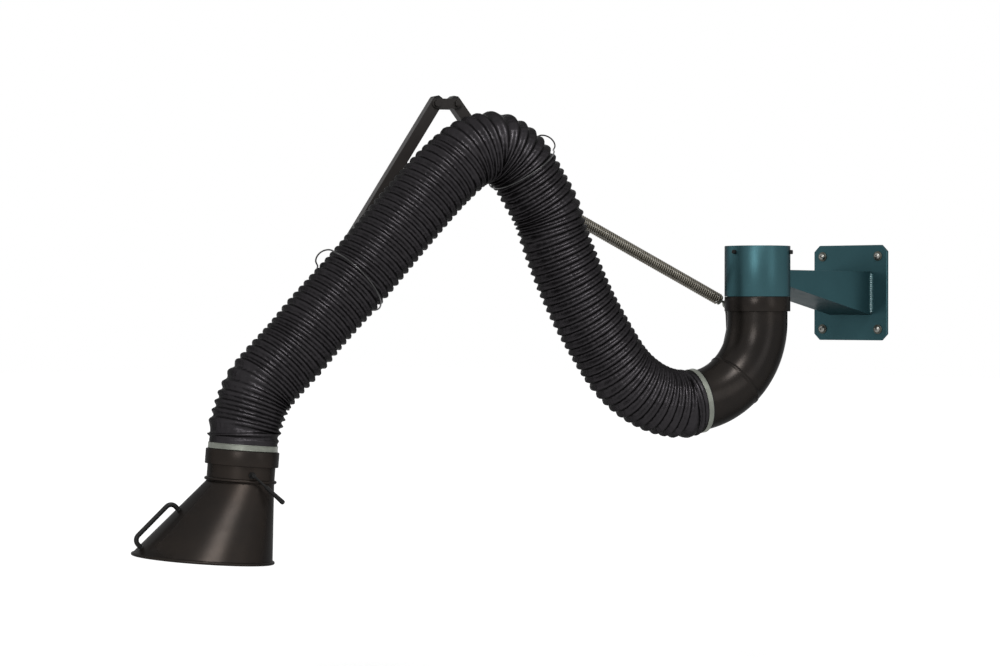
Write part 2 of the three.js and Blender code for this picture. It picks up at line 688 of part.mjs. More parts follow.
const anchorPin = join(
  pinY(SPRING_ANCHOR, ANCHOR_PIN_R, eyeBack - 2, plateFront - 1.5),
  pinY(SPRING_ANCHOR, ANCHOR_PIN_R + 4, eyeBack - 5, eyeBack - 1),
);
add(arm, "spring_anchor_pin", anchorPin, zinc);

// Balance spring: one unbroken coil between two eyes
const springLong = reach(SPRING_ANCHOR, SPRING_TIP);
const springTurn = -slope(SPRING_ANCHOR, SPRING_TIP);
const coilLong = springLong - SPRING_END_LOW - SPRING_END_HIGH;
const toSpring = (geometry) =>
  geometry.rotateY(springTurn).translate(SPRING_ANCHOR[0], MECH_Y, SPRING_ANCHOR[1]);
const coilPoints = Array.from({ length: SPRING_CURLS * SPRING_STEPS + 1 }, (_, i) => {
  const a = (2 * Math.PI * i) / SPRING_STEPS;
  const x = SPRING_END_LOW + (coilLong * i) / (SPRING_CURLS * SPRING_STEPS);
  return vec(x, SPRING_MEAN_R * Math.cos(a), SPRING_MEAN_R * Math.sin(a));
});
let coilGap = Infinity;
coilPoints.forEach((p, i) => {
  for (let j = i + Math.ceil(SPRING_STEPS / 2); j < coilPoints.length; j += 1) {
    if (j - i > 2 * SPRING_STEPS) {
      break;
    }
    coilGap = Math.min(coilGap, p.distanceTo(coilPoints[j]) - 2 * SPRING_WIRE_R);
  }
});
console.log(`balance_spring least gap to itself ${coilGap.toFixed(2)} mm`);
console.log(`hose ${hoseLong.toFixed(0)} mm, ${ribCount} ribs`);
add(arm, "balance_spring", toSpring(rod(coilPoints, SPRING_WIRE_R, SPRING_SIDES)), zinc);
const plugR = SPRING_MEAN_R * Math.cos(Math.PI / SPRING_STEPS) - SPRING_WIRE_R - GAP;
function springEye(reversed, end, pinR) {
  const eye = pinY([0, 0], EYE_R, -EYE_THICK / 2, EYE_THICK / 2, 16);
  const shank = new THREE.CylinderGeometry(3.6, 3.6, end - EYE_R + 8, 8);
  shank.rotateZ(-Math.PI / 2).translate((end + EYE_R) / 2 - 2, 0, 0);
  const plug = new THREE.CylinderGeometry(plugR, plugR - 3, 18, 10);
  plug.rotateZ(-Math.PI / 2).translate(end + 9, 0, 0);
  const flange = new THREE.CylinderGeometry(SPRING_MEAN_R, SPRING_MEAN_R, SPRING_FLANGE, SMALL_ROUND);
  flange.rotateZ(-Math.PI / 2);
  flange.translate(end - SPRING_WIRE_R - GAP - SPRING_FLANGE / 2, 0, 0);
  const wide = 2 * SPRING_MEAN_R;
  const flat = box(0, end, -wide, -EYE_THICK / 2, -wide, wide); // clears the lug
  let made = join(eye, shank, plug, cut(flange, flat));
  if (pinR > 0) {
    made = cut(made, pinY([0, 0], pinR, -EYE_THICK, EYE_THICK));
  }
  if (reversed) {
    made.rotateY(Math.PI).translate(springLong, 0, 0);
  }
  return toSpring(made);
}
add(arm, "spring_eye_low", springEye(false, SPRING_END_LOW, ANCHOR_PIN_R + GAP), zinc);

// Spring lug on the lower arm, beside the upper eye, which carries its own stud
const lugFront = MECH_Y - EYE_THICK / 2 - GAP;
const lugBack = lugFront - LUG_THICK;
const armWay = along(SHOULDER, KNUCKLE_LOW).normalize();
const tipAlong = along(SHOULDER, SPRING_TIP).dot(armWay);
const lugRoot = [SHOULDER[0] + tipAlong * armWay.x, SHOULDER[1] + tipAlong * armWay.z];
const lugWay = along(lugRoot, SPRING_TIP).normalize();
const lugFoot = BAR_SIDE / 2 + GAP;
const lugPoint = (u, w) => [
  lugRoot[0] + u * armWay.x + w * lugWay.x,
  lugRoot[1] + u * armWay.z + w * lugWay.z,
];
const tipOut = reach(lugRoot, SPRING_TIP);
const lugCorners = [
  [-2 * LUG_R, lugFoot],
  [2 * LUG_R, lugFoot],
  [LUG_R, tipOut + 0.6 * LUG_R],
  [0.5 * LUG_R, tipOut + LUG_R],
  [-0.5 * LUG_R, tipOut + LUG_R],
  [-LUG_R, tipOut + 0.6 * LUG_R],
].map(([u, w]) => lugPoint(u, w));
add(arm, "spring_lug", plateY(lugCorners, [], lugBack, lugFront), black);
const stud = pinY(SPRING_TIP, 7, MECH_Y, MECH_Y + EYE_THICK / 2 + 6, 6);
add(arm, "spring_eye_high", join(springEye(true, SPRING_END_HIGH, 0), stud), zinc);

// Hose hoops: a wire round the hose with a loop on its outer side, held on the bar by a stub
function hoop(name, share, barFrom, barTo) {
  const centre = route.getPointAt(share);
  const ahead = route.getTangentAt(share);
  const outer = vec(-ahead.z, 0, ahead.x);
  const wireR = (hoseCrest + HOOP_CLEAR + HOOP_WIRE_R) / Math.cos(Math.PI / 24);
  const place = (angle, axial, r) => {
    const made = centre.clone().addScaledVector(ahead, axial);
    made.addScaledVector(outer, r * Math.cos(rad(angle)));
    return made.addScaledVector(vec(0, 1, 0), r * Math.sin(rad(angle)));
  };
  const points = [];
  const axialAt = (a) => -HOOP_LOOP_HALF * Math.cos(rad((a - 18) / 1.8));
  for (let a = 18; a <= 342; a += 12) {
    points.push(place(a, axialAt(a), wireR));
  }
  points.push(place(350, HOOP_LOOP_HALF, wireR + 0.6 * HOOP_LOOP_OUT));
  points.push(place(358, 0.5 * HOOP_LOOP_HALF, wireR + HOOP_LOOP_OUT));
  points.push(place(2, -0.5 * HOOP_LOOP_HALF, wireR + HOOP_LOOP_OUT));
  points.push(place(10, -HOOP_LOOP_HALF, wireR + 0.6 * HOOP_LOOP_OUT));
  const ring = rod(points, HOOP_WIRE_R, HOOP_SIDES, true);
  // The stub runs from the wire at the back of the hose to the face of the bar.
  const back = place(270, axialAt(270), wireR);
  const way = along(barFrom, barTo).normalize();
  const offset = back.clone().sub(flat(barFrom));
  const near = flat(barFrom).addScaledVector(way, offset.dot(way));
  const foot = vec(near.x, barFront + GAP, near.z);
  const side = 8;
  const reachOut = Math.hypot(back.x - foot.x, back.z - foot.z) + side;
  const stubCorners = [
    [-BAR_SIDE / 2, -side],
    [reachOut, -side],
    [reachOut, side],
    [-BAR_SIDE / 2, side],
  ];
  const stub = plateY(stubCorners, [], 0, wireBack(wireR) - foot.y);
  stub.rotateY(-Math.atan2(back.z - foot.z, back.x - foot.x)).translate(foot.x, foot.y, foot.z);
  add(arm, name, join(ring, stub), plastic);
}
const wireBack = (wireR) => -wireR + HOOP_WIRE_R * 0.6;
hoop("hose_hoop_low", HOOP_SHARES[0], SHOULDER, KNUCKLE_LOW);
hoop("hose_hoop_high", HOOP_SHARES[1], KNUCKLE_HIGH, WRIST);

// Wrist ring with its pivot boss, and the spigot inside it that takes the hose
const wristIn = vec(WRIST[0] - RING_CENTRE[0], 0, WRIST[1] - RING_CENTRE[1]);
wristIn.applyAxisAngle(vec(0, 1, 0), -rad(HOOD_TILT));
const wristPlace = [wristIn.x, wristIn.z];
const hoseSpigotIn = DUCT_R - SHEET;
const ringHigh = RING_TALL / 2;
const ringBody = tubeRing(RING_R, DUCT_R + GAP, -ringHigh, ringHigh);
const bossHole = pinY(wristPlace, PIVOT_R + GAP, -RING_R - 40, -RING_R + 2.5);
const bossCoreR = RING_R - BOSS_IN;
const boss = pinY(wristPlace, BOSS_R, barFront + GAP, -bossCoreR * 0.9, 20);
const ringCore = drum(bossCoreR, -2 * RING_TALL, 2 * RING_TALL);
add(hood, "wrist_ring", cut(join(ringBody, cut(boss, ringCore)), bossHole), black);
add(hood, "hose_spigot", tubeRing(DUCT_R, hoseSpigotIn, -SPIGOT_DOWN, SPIGOT_UP), zinc);
const wristBolt = join(
  pinY(wristPlace, PIVOT_R, barBack - GAP - 1, -RING_R + 1),
  pinY(wristPlace, KNOB_R, barBack - GAP - KNOB_TALL, barBack - GAP, 6),
);
add(hood, "wrist_knob", wristBolt, plastic);

// Hood shell: neck, bead, leaning cone and rolled lip
const neckTop = -ringHigh - RUN_GAP;
const hoodLevels = (inset) => {
  const cone = [MOUTH_OFFSET, MOUTH_Z + LIP_TALL];
  const lip = inset > 0 ? 0 : LIP_OUT;
  const bead = inset > 0 ? 0 : BEAD_OUT;
  return [
    [0, neckTop, NECK_R - inset],
    [0, NECK_LOW + BEAD_TALL / 2, NECK_R - inset],
    [0, NECK_LOW + BEAD_TALL / 4, NECK_R + bead - inset],
    [0, NECK_LOW - BEAD_TALL / 4, NECK_R + bead - inset],
    [0, NECK_LOW - BEAD_TALL / 2, NECK_R - inset],
    [cone[0], cone[1], MOUTH_R - inset],
    [cone[0], cone[1] - 2, MOUTH_R + lip - inset],
    [cone[0], MOUTH_Z, MOUTH_R + lip - inset],
  ];
};
const levelRing = ([x, z, r]) => ringAt(vec(x, 0, z), vec(1, 0, 0), vec(0, 1, 0), r, ROUND, ductTurn);
const axlePin = (r, from, to) => pinY([0, AXLE_Z], r, from, to);
const hoodSkin = skin([...hoodLevels(0).map(levelRing), ...hoodLevels(SHEET).reverse().map(levelRing)], true);
const axleHole = axlePin(AXLE_R + GAP, -NECK_R - 10, NECK_R + 10);
add(hood, "hood_shell", cut(hoodSkin, axleHole), black);

// Hood handle: a bent rod on the front slope
const facetShare = Math.cos(Math.PI / ROUND); // middle of a facet against its corner
const slopeTop = vec(NECK_R * facetShare, 0, NECK_LOW - BEAD_TALL / 2);
const slopeEnd = vec(MOUTH_OFFSET + MOUTH_R * facetShare, 0, MOUTH_Z + LIP_TALL);
const slopeWay = slopeEnd.clone().sub(slopeTop).normalize();
const slopeOut = vec(-slopeWay.z, 0, slopeWay.x);
const onSlope = (t, out) => slopeTop.clone().addScaledVector(slopeWay, t).addScaledVector(slopeOut, out);
const handlePoints = [onSlope(HANDLE_FROM, GAP)];
for (const [t, sense] of [[HANDLE_FROM, 1], [HANDLE_TO, -1]]) {
  const centre = [t + sense * HANDLE_ROUND, HANDLE_OUT - HANDLE_ROUND];
  const turns = [0, 1, 2, 3].map((i) => (sense > 0 ? 180 - 30 * i : 90 - 30 * i));
  turns.forEach((a) => {
    const along2 = centre[0] + HANDLE_ROUND * Math.cos(rad(a));
    handlePoints.push(onSlope(along2, centre[1] + HANDLE_ROUND * Math.sin(rad(a))));
  });
}
handlePoints.push(onSlope(HANDLE_TO, GAP));
add(hood, "hood_handle", rod(handlePoints, HANDLE_R, 8), plastic);

// Damper: a blade on an axle through the neck, with a lever and grip outside
const leverY = NECK_R + AXLE_OUT;
const damperTurn = rad(LEVER_ANGLE);
const blade = new THREE.CylinderGeometry(BLADE_R, BLADE_R, BLADE_THICK, 24);
blade.rotateX(Math.PI / 2).rotateY(damperTurn + rad(BLADE_LEAD)).translate(0, 0, AXLE_Z);
const bladeSlot = axlePin(AXLE_R + GAP, -BLADE_R - 5, BLADE_R + 5);
const hub = pinY([0, AXLE_Z], AXLE_R + 3, -0.6 * BLADE_R, 0.6 * BLADE_R);
add(hood, "damper_blade", cut(join(blade, hub), bladeSlot), zinc);
const leverWay = vec(-Math.cos(damperTurn), 0, -Math.sin(damperTurn));
const leverAt = (t) => vec(leverWay.x * t, leverY, AXLE_Z + leverWay.z * t);
const leverRod = rod([leverAt(-6), leverAt(LEVER_LONG - GRIP_LONG / 2)], LEVER_R, 8);
const axle = axlePin(AXLE_R, -NECK_R - 6, leverY + LEVER_R);
add(hood, "damper_lever", join(axle, leverRod), zinc);
const gripBody = rod([leverAt(LEVER_LONG - GRIP_LONG), leverAt(LEVER_LONG)], GRIP_R, 10);
const gripBore = rod([leverAt(0), leverAt(LEVER_LONG - GRIP_LONG / 2 + 1)], LEVER_R + GAP, 8);
add(hood, "damper_grip", cut(gripBody, gripBore), plastic);

export default root;
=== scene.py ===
"""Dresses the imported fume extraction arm: smooth round forms, soft hose, coil spring, finishes and studio."""
import bisect
import math

import bmesh
import bpy
from bpy.props import FloatProperty, FloatVectorProperty, IntProperty, PointerProperty
from mathutils import Matrix, Vector


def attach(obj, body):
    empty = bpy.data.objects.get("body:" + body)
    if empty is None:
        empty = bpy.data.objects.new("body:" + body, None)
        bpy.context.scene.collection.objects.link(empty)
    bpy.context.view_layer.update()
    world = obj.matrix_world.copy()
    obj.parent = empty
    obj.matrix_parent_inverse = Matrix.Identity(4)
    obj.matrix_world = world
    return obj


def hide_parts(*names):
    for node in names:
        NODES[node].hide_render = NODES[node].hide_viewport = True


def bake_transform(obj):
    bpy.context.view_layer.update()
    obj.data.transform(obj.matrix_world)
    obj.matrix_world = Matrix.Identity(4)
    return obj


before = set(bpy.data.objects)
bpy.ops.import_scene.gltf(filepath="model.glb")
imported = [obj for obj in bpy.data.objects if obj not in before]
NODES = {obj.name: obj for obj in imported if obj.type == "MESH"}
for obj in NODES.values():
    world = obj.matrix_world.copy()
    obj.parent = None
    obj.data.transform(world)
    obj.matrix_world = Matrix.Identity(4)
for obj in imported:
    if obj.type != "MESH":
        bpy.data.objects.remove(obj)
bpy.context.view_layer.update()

bl_info = {
    "name": "Fume extraction arm",
    "version": (1, 0, 0),
    "blender": (4, 5, 0),
    "location": "View3D > Sidebar > Fume arm",
    "description": "Builds the visible pieces, finishes and studio of a wall-mounted fume extraction arm",
    "category": "Object",
}

MM = 0.001

# Arm frame: x out along the arm, y to the hose's open side, z up, in millimetres
AXIS_OUT = 480.0
ARM_YAW = math.radians(243.0)
OUT = Vector((math.cos(ARM_YAW), math.sin(ARM_YAW), 0.0))
SIDE = Vector((-math.sin(ARM_YAW), math.cos(ARM_YAW), 0.0))
UP = Vector((0.0, 0.0, 1.0))

# Sizes shared with the solids, in millimetres
GAP = 0.3
DUCT_R = 80.0
SHEET = 2.0
SPIGOT_R = 87.5
SPIGOT_BORE = 85.0
SPIGOT_TOP = 122.5
SPIGOT_LOW = -12.0
LEDGE_R = 82.5
LEDGE_TOP = -6.0
COLLAR_TOP = -12.6
COLLAR_LOW = -51.6
SLEEVE_TOP = 20.0
ELBOW_START = -79.0
ELBOW_BEND_R = 210.0
ELBOW_ANGLE = math.radians(80.0)
ELBOW_SEAM = math.radians(48.0)
ELBOW_TAIL = 42.0
PLATE_THICK = 10.0
BOLT_X = 90.0
BOLT_Z = 102.0
MECH_Y = -123.0
BAR_HALF = 15.0
SHOULDER = (205.0, -320.0)
KNUCKLE_LOW = (824.0, 483.0)
KNUCKLE_HIGH = (881.0, 482.0)
WRIST = (1455.0, -408.0)
SPRING_ANCHOR = (25.0, -32.0)
SPRING_TIP = (585.0, 248.0)
SPRING_END_LOW = 28.0
SPRING_END_HIGH = 50.0
RING_CENTRE = (1441.0, -405.0)
HOOD_TILT = math.radians(-4.7)
RING_HALF = 14.0
SPIGOT_UP = 54.0
CLAMP_HALF = 7.0
BAND_IN = 83.8
HOSE_INSET = 2.0
HOSE_SPLITS = (0.4, 0.72)
HOOP_SHARES = (0.433, 0.745)
HOSE_ROUTE = (
    (292, -284), (352, -255), (404, -212), (438, -168), (474, -113), (512, -50), (544, 13), (573, 77),
    (598, 140), (620, 203), (655, 262), (697, 324), (727, 351), (765, 368), (801, 363), (844, 344),
    (884, 311), (917, 281), (1020, 170), (1138, 37), (1196, -23), (1253, -83), (1304, -142),
    (1372, -212), (1403, -251),
)


class FUMEARM_PG_sizes(bpy.types.PropertyGroup):
    """Sizes of the soft and round pieces."""
    hose_valley: FloatProperty(
        name="Hose valley", description="Radius of the hose between two ribs", default=0.0815, unit="LENGTH")
    hose_crest: FloatProperty(
        name="Hose crest", description="Radius of the hose over a rib", default=0.0896, unit="LENGTH")
    hose_pitch: FloatProperty(
        name="Hose pitch", description="Distance between two turns of the rib", default=0.020, unit="LENGTH")
    spring_radius: FloatProperty(
        name="Spring radius", description="Mean radius of the balance spring", default=0.0137, unit="LENGTH")
    spring_wire: FloatProperty(
        name="Spring wire", description="Radius of the spring's wire", default=0.00245, unit="LENGTH")
    spring_curls: IntProperty(
        name="Spring curls", description="Turns of the balance spring", default=88, min=10, max=100)
    hoop_wire: FloatProperty(
        name="Hoop wire", description="Radius of the hose hoops' wire", default=0.0020, unit="LENGTH")


class FUMEARM_PG_colours(bpy.types.PropertyGroup):
    """Colours of the finishes."""
    teal: FloatVectorProperty(
        name="Teal enamel", description="Paint of the wall bracket", subtype="COLOR",
        default=(0.034, 0.084, 0.096))
    black: FloatVectorProperty(
        name="Black enamel", description="Paint of duct and hood", subtype="COLOR",
        default=(0.0168, 0.0152, 0.0143))
    bar: FloatVectorProperty(
        name="Powder coat", description="Coat of bars and plates", subtype="COLOR",
        default=(0.0160, 0.0142, 0.0132))
    hose: FloatVectorProperty(
        name="Hose cloth", description="Coated cloth of the hose", subtype="COLOR",
        default=(0.0232, 0.0216, 0.0234))
    steel: FloatVectorProperty(
        name="Zinc", description="Plated fasteners and clamps", subtype="COLOR",
        default=(0.185, 0.196, 0.17))
    spring: FloatVectorProperty(
        name="Spring steel", description="Oiled wire of the spring", subtype="COLOR",
        default=(0.16, 0.15, 0.127))
    moulded: FloatVectorProperty(
        name="Black plastic", description="Caps, grips and hoops", subtype="COLOR",
        default=(0.006, 0.006, 0.006))


def sizes():
    return bpy.context.scene.fume_arm_sizes


def colours():
    return bpy.context.scene.fume_arm_colours


# Places

def at_arm(place):
    """A place in the arm's frame, in millimetres, as a point of the row frame in metres."""
    return (Vector((0.0, -AXIS_OUT, 0.0)) + OUT * place.x + SIDE * place.y + UP * place.z) * MM


ARM_MATRIX = Matrix.Translation((0.0, -AXIS_OUT * MM, 0.0)) @ Matrix.Rotation(ARM_YAW, 4, "Z")
HOOD_MATRIX = (ARM_MATRIX @ Matrix.Translation((RING_CENTRE[0] * MM, 0.0, RING_CENTRE[1] * MM))
               @ Matrix.Rotation(HOOD_TILT, 4, "Y"))
FIXED_MATRIX = Matrix.Translation((0.0, -AXIS_OUT * MM, 0.0))


def smooth_path(points, looped=False):
    """A smooth curve through points: a function from a share of its length to a point, and its length."""
    count = len(points)
    spans = count if looped else count - 1

    def knot(i):
        if looped:
            return points[i % count]
        if i < 0:
            return points[0] * 2 - points[1]
        if i >= count:
            return points[-1] * 2 - points[-2]
        return points[i]

    fine = []
    steps = 40
    for i in range(spans):
        p0, p1, p2, p3 = (knot(i + k) for k in (-1, 0, 1, 2))
        d0, d1, d2 = (max((b - a).length ** 0.5, 1e-6) for a, b in ((p0, p1), (p1, p2), (p2, p3)))
        t1 = ((p1 - p0) / d0 - (p2 - p0) / (d0 + d1) + (p2 - p1) / d1) * d1
        t2 = ((p2 - p1) / d1 - (p3 - p1) / (d1 + d2) + (p3 - p2) / d2) * d1
        c2 = p1 * -3 + p2 * 3 - t1 * 2 - t2
        c3 = p1 * 2 - p2 * 2 + t1 + t2
        for k in range(steps):
            t = k / steps
            fine.append(p1 + t1 * t + c2 * t * t + c3 * t ** 3)
    fine.append(points[0].copy() if looped else points[-1].copy())
    lengths = [0.0]
    for a, b in zip(fine, fine[1:]):
        lengths.append(lengths[-1] + (b - a).length)

    def at(share):
        s = min(max(share, 0.0), 1.0) * lengths[-1]
        i = min(max(bisect.bisect_right(lengths, s) - 1, 0), len(fine) - 2)
        f = (s - lengths[i]) / max(lengths[i + 1] - lengths[i], 1e-9)
        return fine[i].lerp(fine[i + 1], f)

    return at, lengths[-1]


def frames_along(points, looped=False):
    """Two directions across a row of points, carried along without twist."""
    count = len(points)
    ways = []
    for i in range(count):
        before = points[i - 1] if i > 0 else (points[-2] if looped else points[0])
        after = points[i + 1] if i < count - 1 else (points[1] if looped else points[-1])
        ways.append((after - before).normalized())
    first = ways[0].orthogonal().normalized()
    across = [first]
    for way in ways[1:]:
        carried = across[-1] - way * across[-1].dot(way)
        across.append(carried.normalized())
    if looped:
        turn = math.atan2(across[-1].cross(across[0]).dot(ways[0]), across[-1].dot(across[0]))
        across = [a.copy() for a in across]
        for i in range(count):
            across[i].rotate(Matrix.Rotation(turn * i / (count - 1), 3, ways[i]))
    return [(a, w.cross(a)) for a, w in zip(across, ways)]


# Mesh makers

def finish_piece(name, bm, material, body=None, nodes=(), flat_angle=0.6):
    """Turns a bmesh into a piece: shaded smooth up to an angle, finished, and riding on its body."""
    mesh = bpy.data.meshes.new(name)
    for edge in bm.edges:
        edge.smooth = len(edge.link_faces) == 2 and edge.calc_face_angle(0.0) < flat_angle
    for face in bm.faces:
        face.smooth = True
    bm.to_mesh(mesh)
    bm.free()
    piece = bpy.data.objects.new(name, mesh)
    bpy.context.scene.collection.objects.link(piece)
    for one in material if isinstance(material, (list, tuple)) else [material]:
        mesh.materials.append(one)
    if nodes:
        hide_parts(*nodes)
    if body:
        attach(piece, body)
    return piece


def wrapped(bm, rows, around, place):
    """Lays a grid onto place(row share, round share) and joins its seams."""
    uv = bm.loops.layers.uv.verify()
    made = bmesh.ops.create_grid(bm, x_segments=rows, y_segments=around, size=0.5, calc_uvs=True)
    verts = made["verts"]
    for face in {f for v in verts for f in v.link_faces}:
        for loop in face.loops:
            loop[uv].uv = (loop.vert.co.x + 0.5, loop.vert.co.y + 0.5)
    for v in verts:
        v.co = place(v.co.x + 0.5, v.co.y + 0.5)
    bmesh.ops.remove_doubles(bm, verts=verts, dist=1e-6)
    return [v for v in verts if v.is_valid]


def close_ends(bm):
    """Caps each open end and turns all faces outwards."""
    rims = [e for e in bm.edges if e.is_boundary]
    if rims:
        bmesh.ops.holes_fill(bm, edges=rims, sides=0)
    bmesh.ops.recalc_face_normals(bm, faces=bm.faces)


def rod_into(bm, points, radius, around=16, looped=False):
    """A round rod along points in metres."""
    spans = len(points) - 1
    crosses = frames_along(points, looped)

    def place(u, v):
        i = round(u * spans)
        a, b = crosses[i]
        angle = 2 * math.pi * v
        if v > 1 - 1e-6:
            angle = 0.0
        return points[i] + (a * math.cos(angle) + b * math.sin(angle)) * radius

    return wrapped(bm, spans, around, place)


def lathe_into(bm, profile, matrix, steps=72, closed=True):
    """Spins [radius, height] pairs in millimetres about Z, then puts the form in place."""
    verts = [bm.verts.new((r * MM, 0.0, z * MM)) for r, z in profile]
    edges = [bm.edges.new(pair) for pair in zip(verts, verts[1:])]
    if closed:
        edges.append(bm.edges.new((verts[-1], verts[0])))
    bmesh.ops.spin(
        bm, geom=verts + edges, cent=(0, 0, 0), axis=(0, 0, 1), angle=2 * math.pi, steps=steps,
        use_merge=True)
    linked = set(verts)
    grown = list(verts)
    while grown:
        v = grown.pop()
        for e in v.link_edges:
            w = e.other_vert(v)
            if w not in linked:
                linked.add(w)
                grown.append(w)
    bmesh.ops.remove_doubles(bm, verts=list(linked), dist=1e-6)
    linked = [v for v in linked if v.is_valid]
    bmesh.ops.transform(bm, matrix=matrix, verts=linked)
    return linked


def rings_into(bm, rings, segments):
    """Joins rings, each a radius in millimetres and a matrix, one to the next and the last to the first."""
    loops = []
    for radius, matrix in rings:
        made = bmesh.ops.create_circle(bm, segments=segments, radius=radius * MM)
        ring = set(made["verts"])
        for v in made["verts"]:
            v.co = matrix @ v.co
        loops.append([e for e in bm.edges if e.verts[0] in ring and e.verts[1] in ring])
    for here, there in zip(loops, loops[1:] + loops[:1]):
        bmesh.ops.bridge_loops(bm, edges=here + there)
    bmesh.ops.recalc_face_normals(bm, faces=bm.faces)


def soften(bm, width, angle=0.5, segments=2):
    """Rounds each sharp edge by a width in millimetres."""
    bmesh.ops.recalc_face_normals(bm, faces=bm.faces)
    sharp = [e for e in bm.edges if len(e.link_faces) == 2 and e.calc_face_angle(0.0) > angle]
    if sharp:
        bmesh.ops.bevel(
            bm, geom=sharp, offset=width * MM, offset_type="OFFSET", affect="EDGES", segments=segments,
            profile=0.5, clamp_overlap=True, material=-1)


def block_into(bm, low, high, matrix):
    """A block between two corners in millimetres."""
    size = [(b - a) * MM for a, b in zip(low, high)]
    middle = [(a + b) / 2 * MM for a, b in zip(low, high)]
    place = matrix @ Matrix.Translation(middle) @ Matrix.Diagonal((*size, 1.0))
    return bmesh.ops.create_cube(bm, size=1.0, matrix=place)["verts"]


def along_side(place_x, place_z):
    """Matrix that stands a lathe's axis on the arm's side direction at a place in the arm's plane."""
    place = Matrix.Translation((place_x * MM, 0.0, place_z * MM))
    return ARM_MATRIX @ place @ Matrix.Rotation(-math.pi / 2, 4, "X")


def round_edges(node, width, segments=2):
    """Rounds a solid's own edges where its shape stays."""
    solid = NODES[node]
    weld = solid.modifiers.new("Joined corners", "WELD")
    weld.merge_threshold = 0.00002
    bevel = solid.modifiers.new("Rounded edges", "BEVEL")
    bevel.width = width * MM
    bevel.segments = segments
    bevel.limit_method = "ANGLE"
    bevel.angle_limit = 0.6
    return solid


def dress(material, *names):
    """Puts a finish on solids that stay in view."""
    for name in names:
        solid = NODES[name]
        for holder in solid.material_slots:
            holder.material = material


# Finishes

def node_group(name, inputs, outputs):
    """A shader node group with its sockets; returns the tree and its two end nodes."""
    tree = bpy.data.node_groups.new(name, "ShaderNodeTree")
    for label, kind, default in inputs:
        socket = tree.interface.new_socket(name=label, in_out="INPUT", socket_type=kind)
        if default is not None:
            socket.default_value = default
    for label, kind in outputs:
        tree.interface.new_socket(name=label, in_out="OUTPUT", socket_type=kind)
    return tree, tree.nodes.new("NodeGroupInput"), tree.nodes.new("NodeGroupOutput")


def feed(tree, socket, given):
    """Sets a socket to a number, or links it to another socket."""
    if isinstance(given, (int, float)):
        socket.default_value = given
    else:
        tree.links.new(given, socket)


def noise(tree, vector, scale, detail=4.0, rough=0.55):
    made = tree.nodes.new("ShaderNodeTexNoise")
    made.inputs["Detail"].default_value = detail
    made.inputs["Roughness"].default_value = rough
    tree.links.new(vector, made.inputs["Vector"])
    feed(tree, made.inputs["Scale"], scale)
    return made.outputs["Fac"]


def ranged(tree, value, low, high, to_low=0.0, to_high=1.0):
    """A value carried from one range to another and held within it."""
    made = tree.nodes.new("ShaderNodeMapRange")
    for label, given in (("From Min", low), ("From Max", high), ("To Min", to_low), ("To Max", to_high)):
        feed(tree, made.inputs[label], given)
    tree.links.new(value, made.inputs["Value"])
    return made.outputs["Result"]


def maths(tree, kind, a, b):
    made = tree.nodes.new("ShaderNodeMath")
    made.operation = kind
    for socket, given in zip(made.inputs, (a, b)):
        feed(tree, socket, given)
    return made.outputs["Value"]


def mixed(tree, share, a, b):
    made = tree.nodes.new("ShaderNodeMix")
    made.data_type = "RGBA"
    for socket, given in ((made.inputs[0], share), (made.inputs[6], a), (made.inputs[7], b)):
        tree.links.new(given, socket)
    return made.outputs[2]


def mottle_group():
    """Slow colour drift with small specks."""
    tree, given, out = node_group(
        "Mottle",
        [("Vector", "NodeSocketVector", None), ("Scale", "NodeSocketFloat", 12.0),
         ("Main", "NodeSocketColor", (0.5, 0.5, 0.5, 1)), ("Drift", "NodeSocketColor", (0.4, 0.4, 0.4, 1)),
         ("Speck", "NodeSocketColor", (0.6, 0.6, 0.6, 1)), ("Speck scale", "NodeSocketFloat", 300.0)],
        [("Color", "NodeSocketColor")])
    slow = ranged(tree, noise(tree, given.outputs["Vector"], given.outputs["Scale"]), 0.35, 0.68)
    fine = noise(tree, given.outputs["Vector"], given.outputs["Speck scale"], 2.0)
    specks = ranged(tree, fine, 0.66, 0.74)
    colour = mixed(tree, slow, given.outputs["Main"], given.outputs["Drift"])
    tree.links.new(mixed(tree, specks, colour, given.outputs["Speck"]), out.inputs["Color"])
    return tree


def smudge_group():
    """Uneven gloss from handling."""
    tree, given, out = node_group(
        "Smudge",
        [("Vector", "NodeSocketVector", None), ("Scale", "NodeSocketFloat", 9.0),
         ("Low", "NodeSocketFloat", 0.35), ("High", "NodeSocketFloat", 0.5)],
        [("Roughness", "NodeSocketFloat")])
    wide = noise(tree, given.outputs["Vector"], given.outputs["Scale"], 6.0, 0.62)
    made = ranged(tree, wide, 0.35, 0.65, given.outputs["Low"], given.outputs["High"])
    tree.links.new(made, out.inputs["Roughness"])
    return tree


def grain_group():
    """Fine height of a sprayed, moulded or woven surface."""
    tree, given, out = node_group(
        "Grain",
        [("Vector", "NodeSocketVector", None), ("Scale", "NodeSocketFloat", 250.0),
         ("Slow", "NodeSocketFloat", 30.0)],
        [("Height", "NodeSocketFloat")])
    fine = noise(tree, given.outputs["Vector"], given.outputs["Scale"], 3.0)
    slow = noise(tree, given.outputs["Vector"], given.outputs["Slow"], 2.0)
    made = maths(tree, "ADD", fine, maths(tree, "MULTIPLY", slow, 0.8))
    tree.links.new(made, out.inputs["Height"])
    return tree


GROUPS = {}


def placed_group(tree, kind, vector, **values):
    """A shared group in a material's tree, with its values set."""
    made = tree.nodes.new("ShaderNodeGroup")
    made.node_tree = GROUPS[kind]
    tree.links.new(vector, made.inputs["Vector"])
    for label, value in values.items():
        made.inputs[label.replace("_", " ").capitalize()].default_value = value
    return made


def tone(colour, factor, tint=(1.0, 1.0, 1.0)):
    """A colour made lighter or darker, and tinted."""
    return tuple(min(1.0, c * factor * t) for c, t in zip(colour, tint)) + (1.0,)


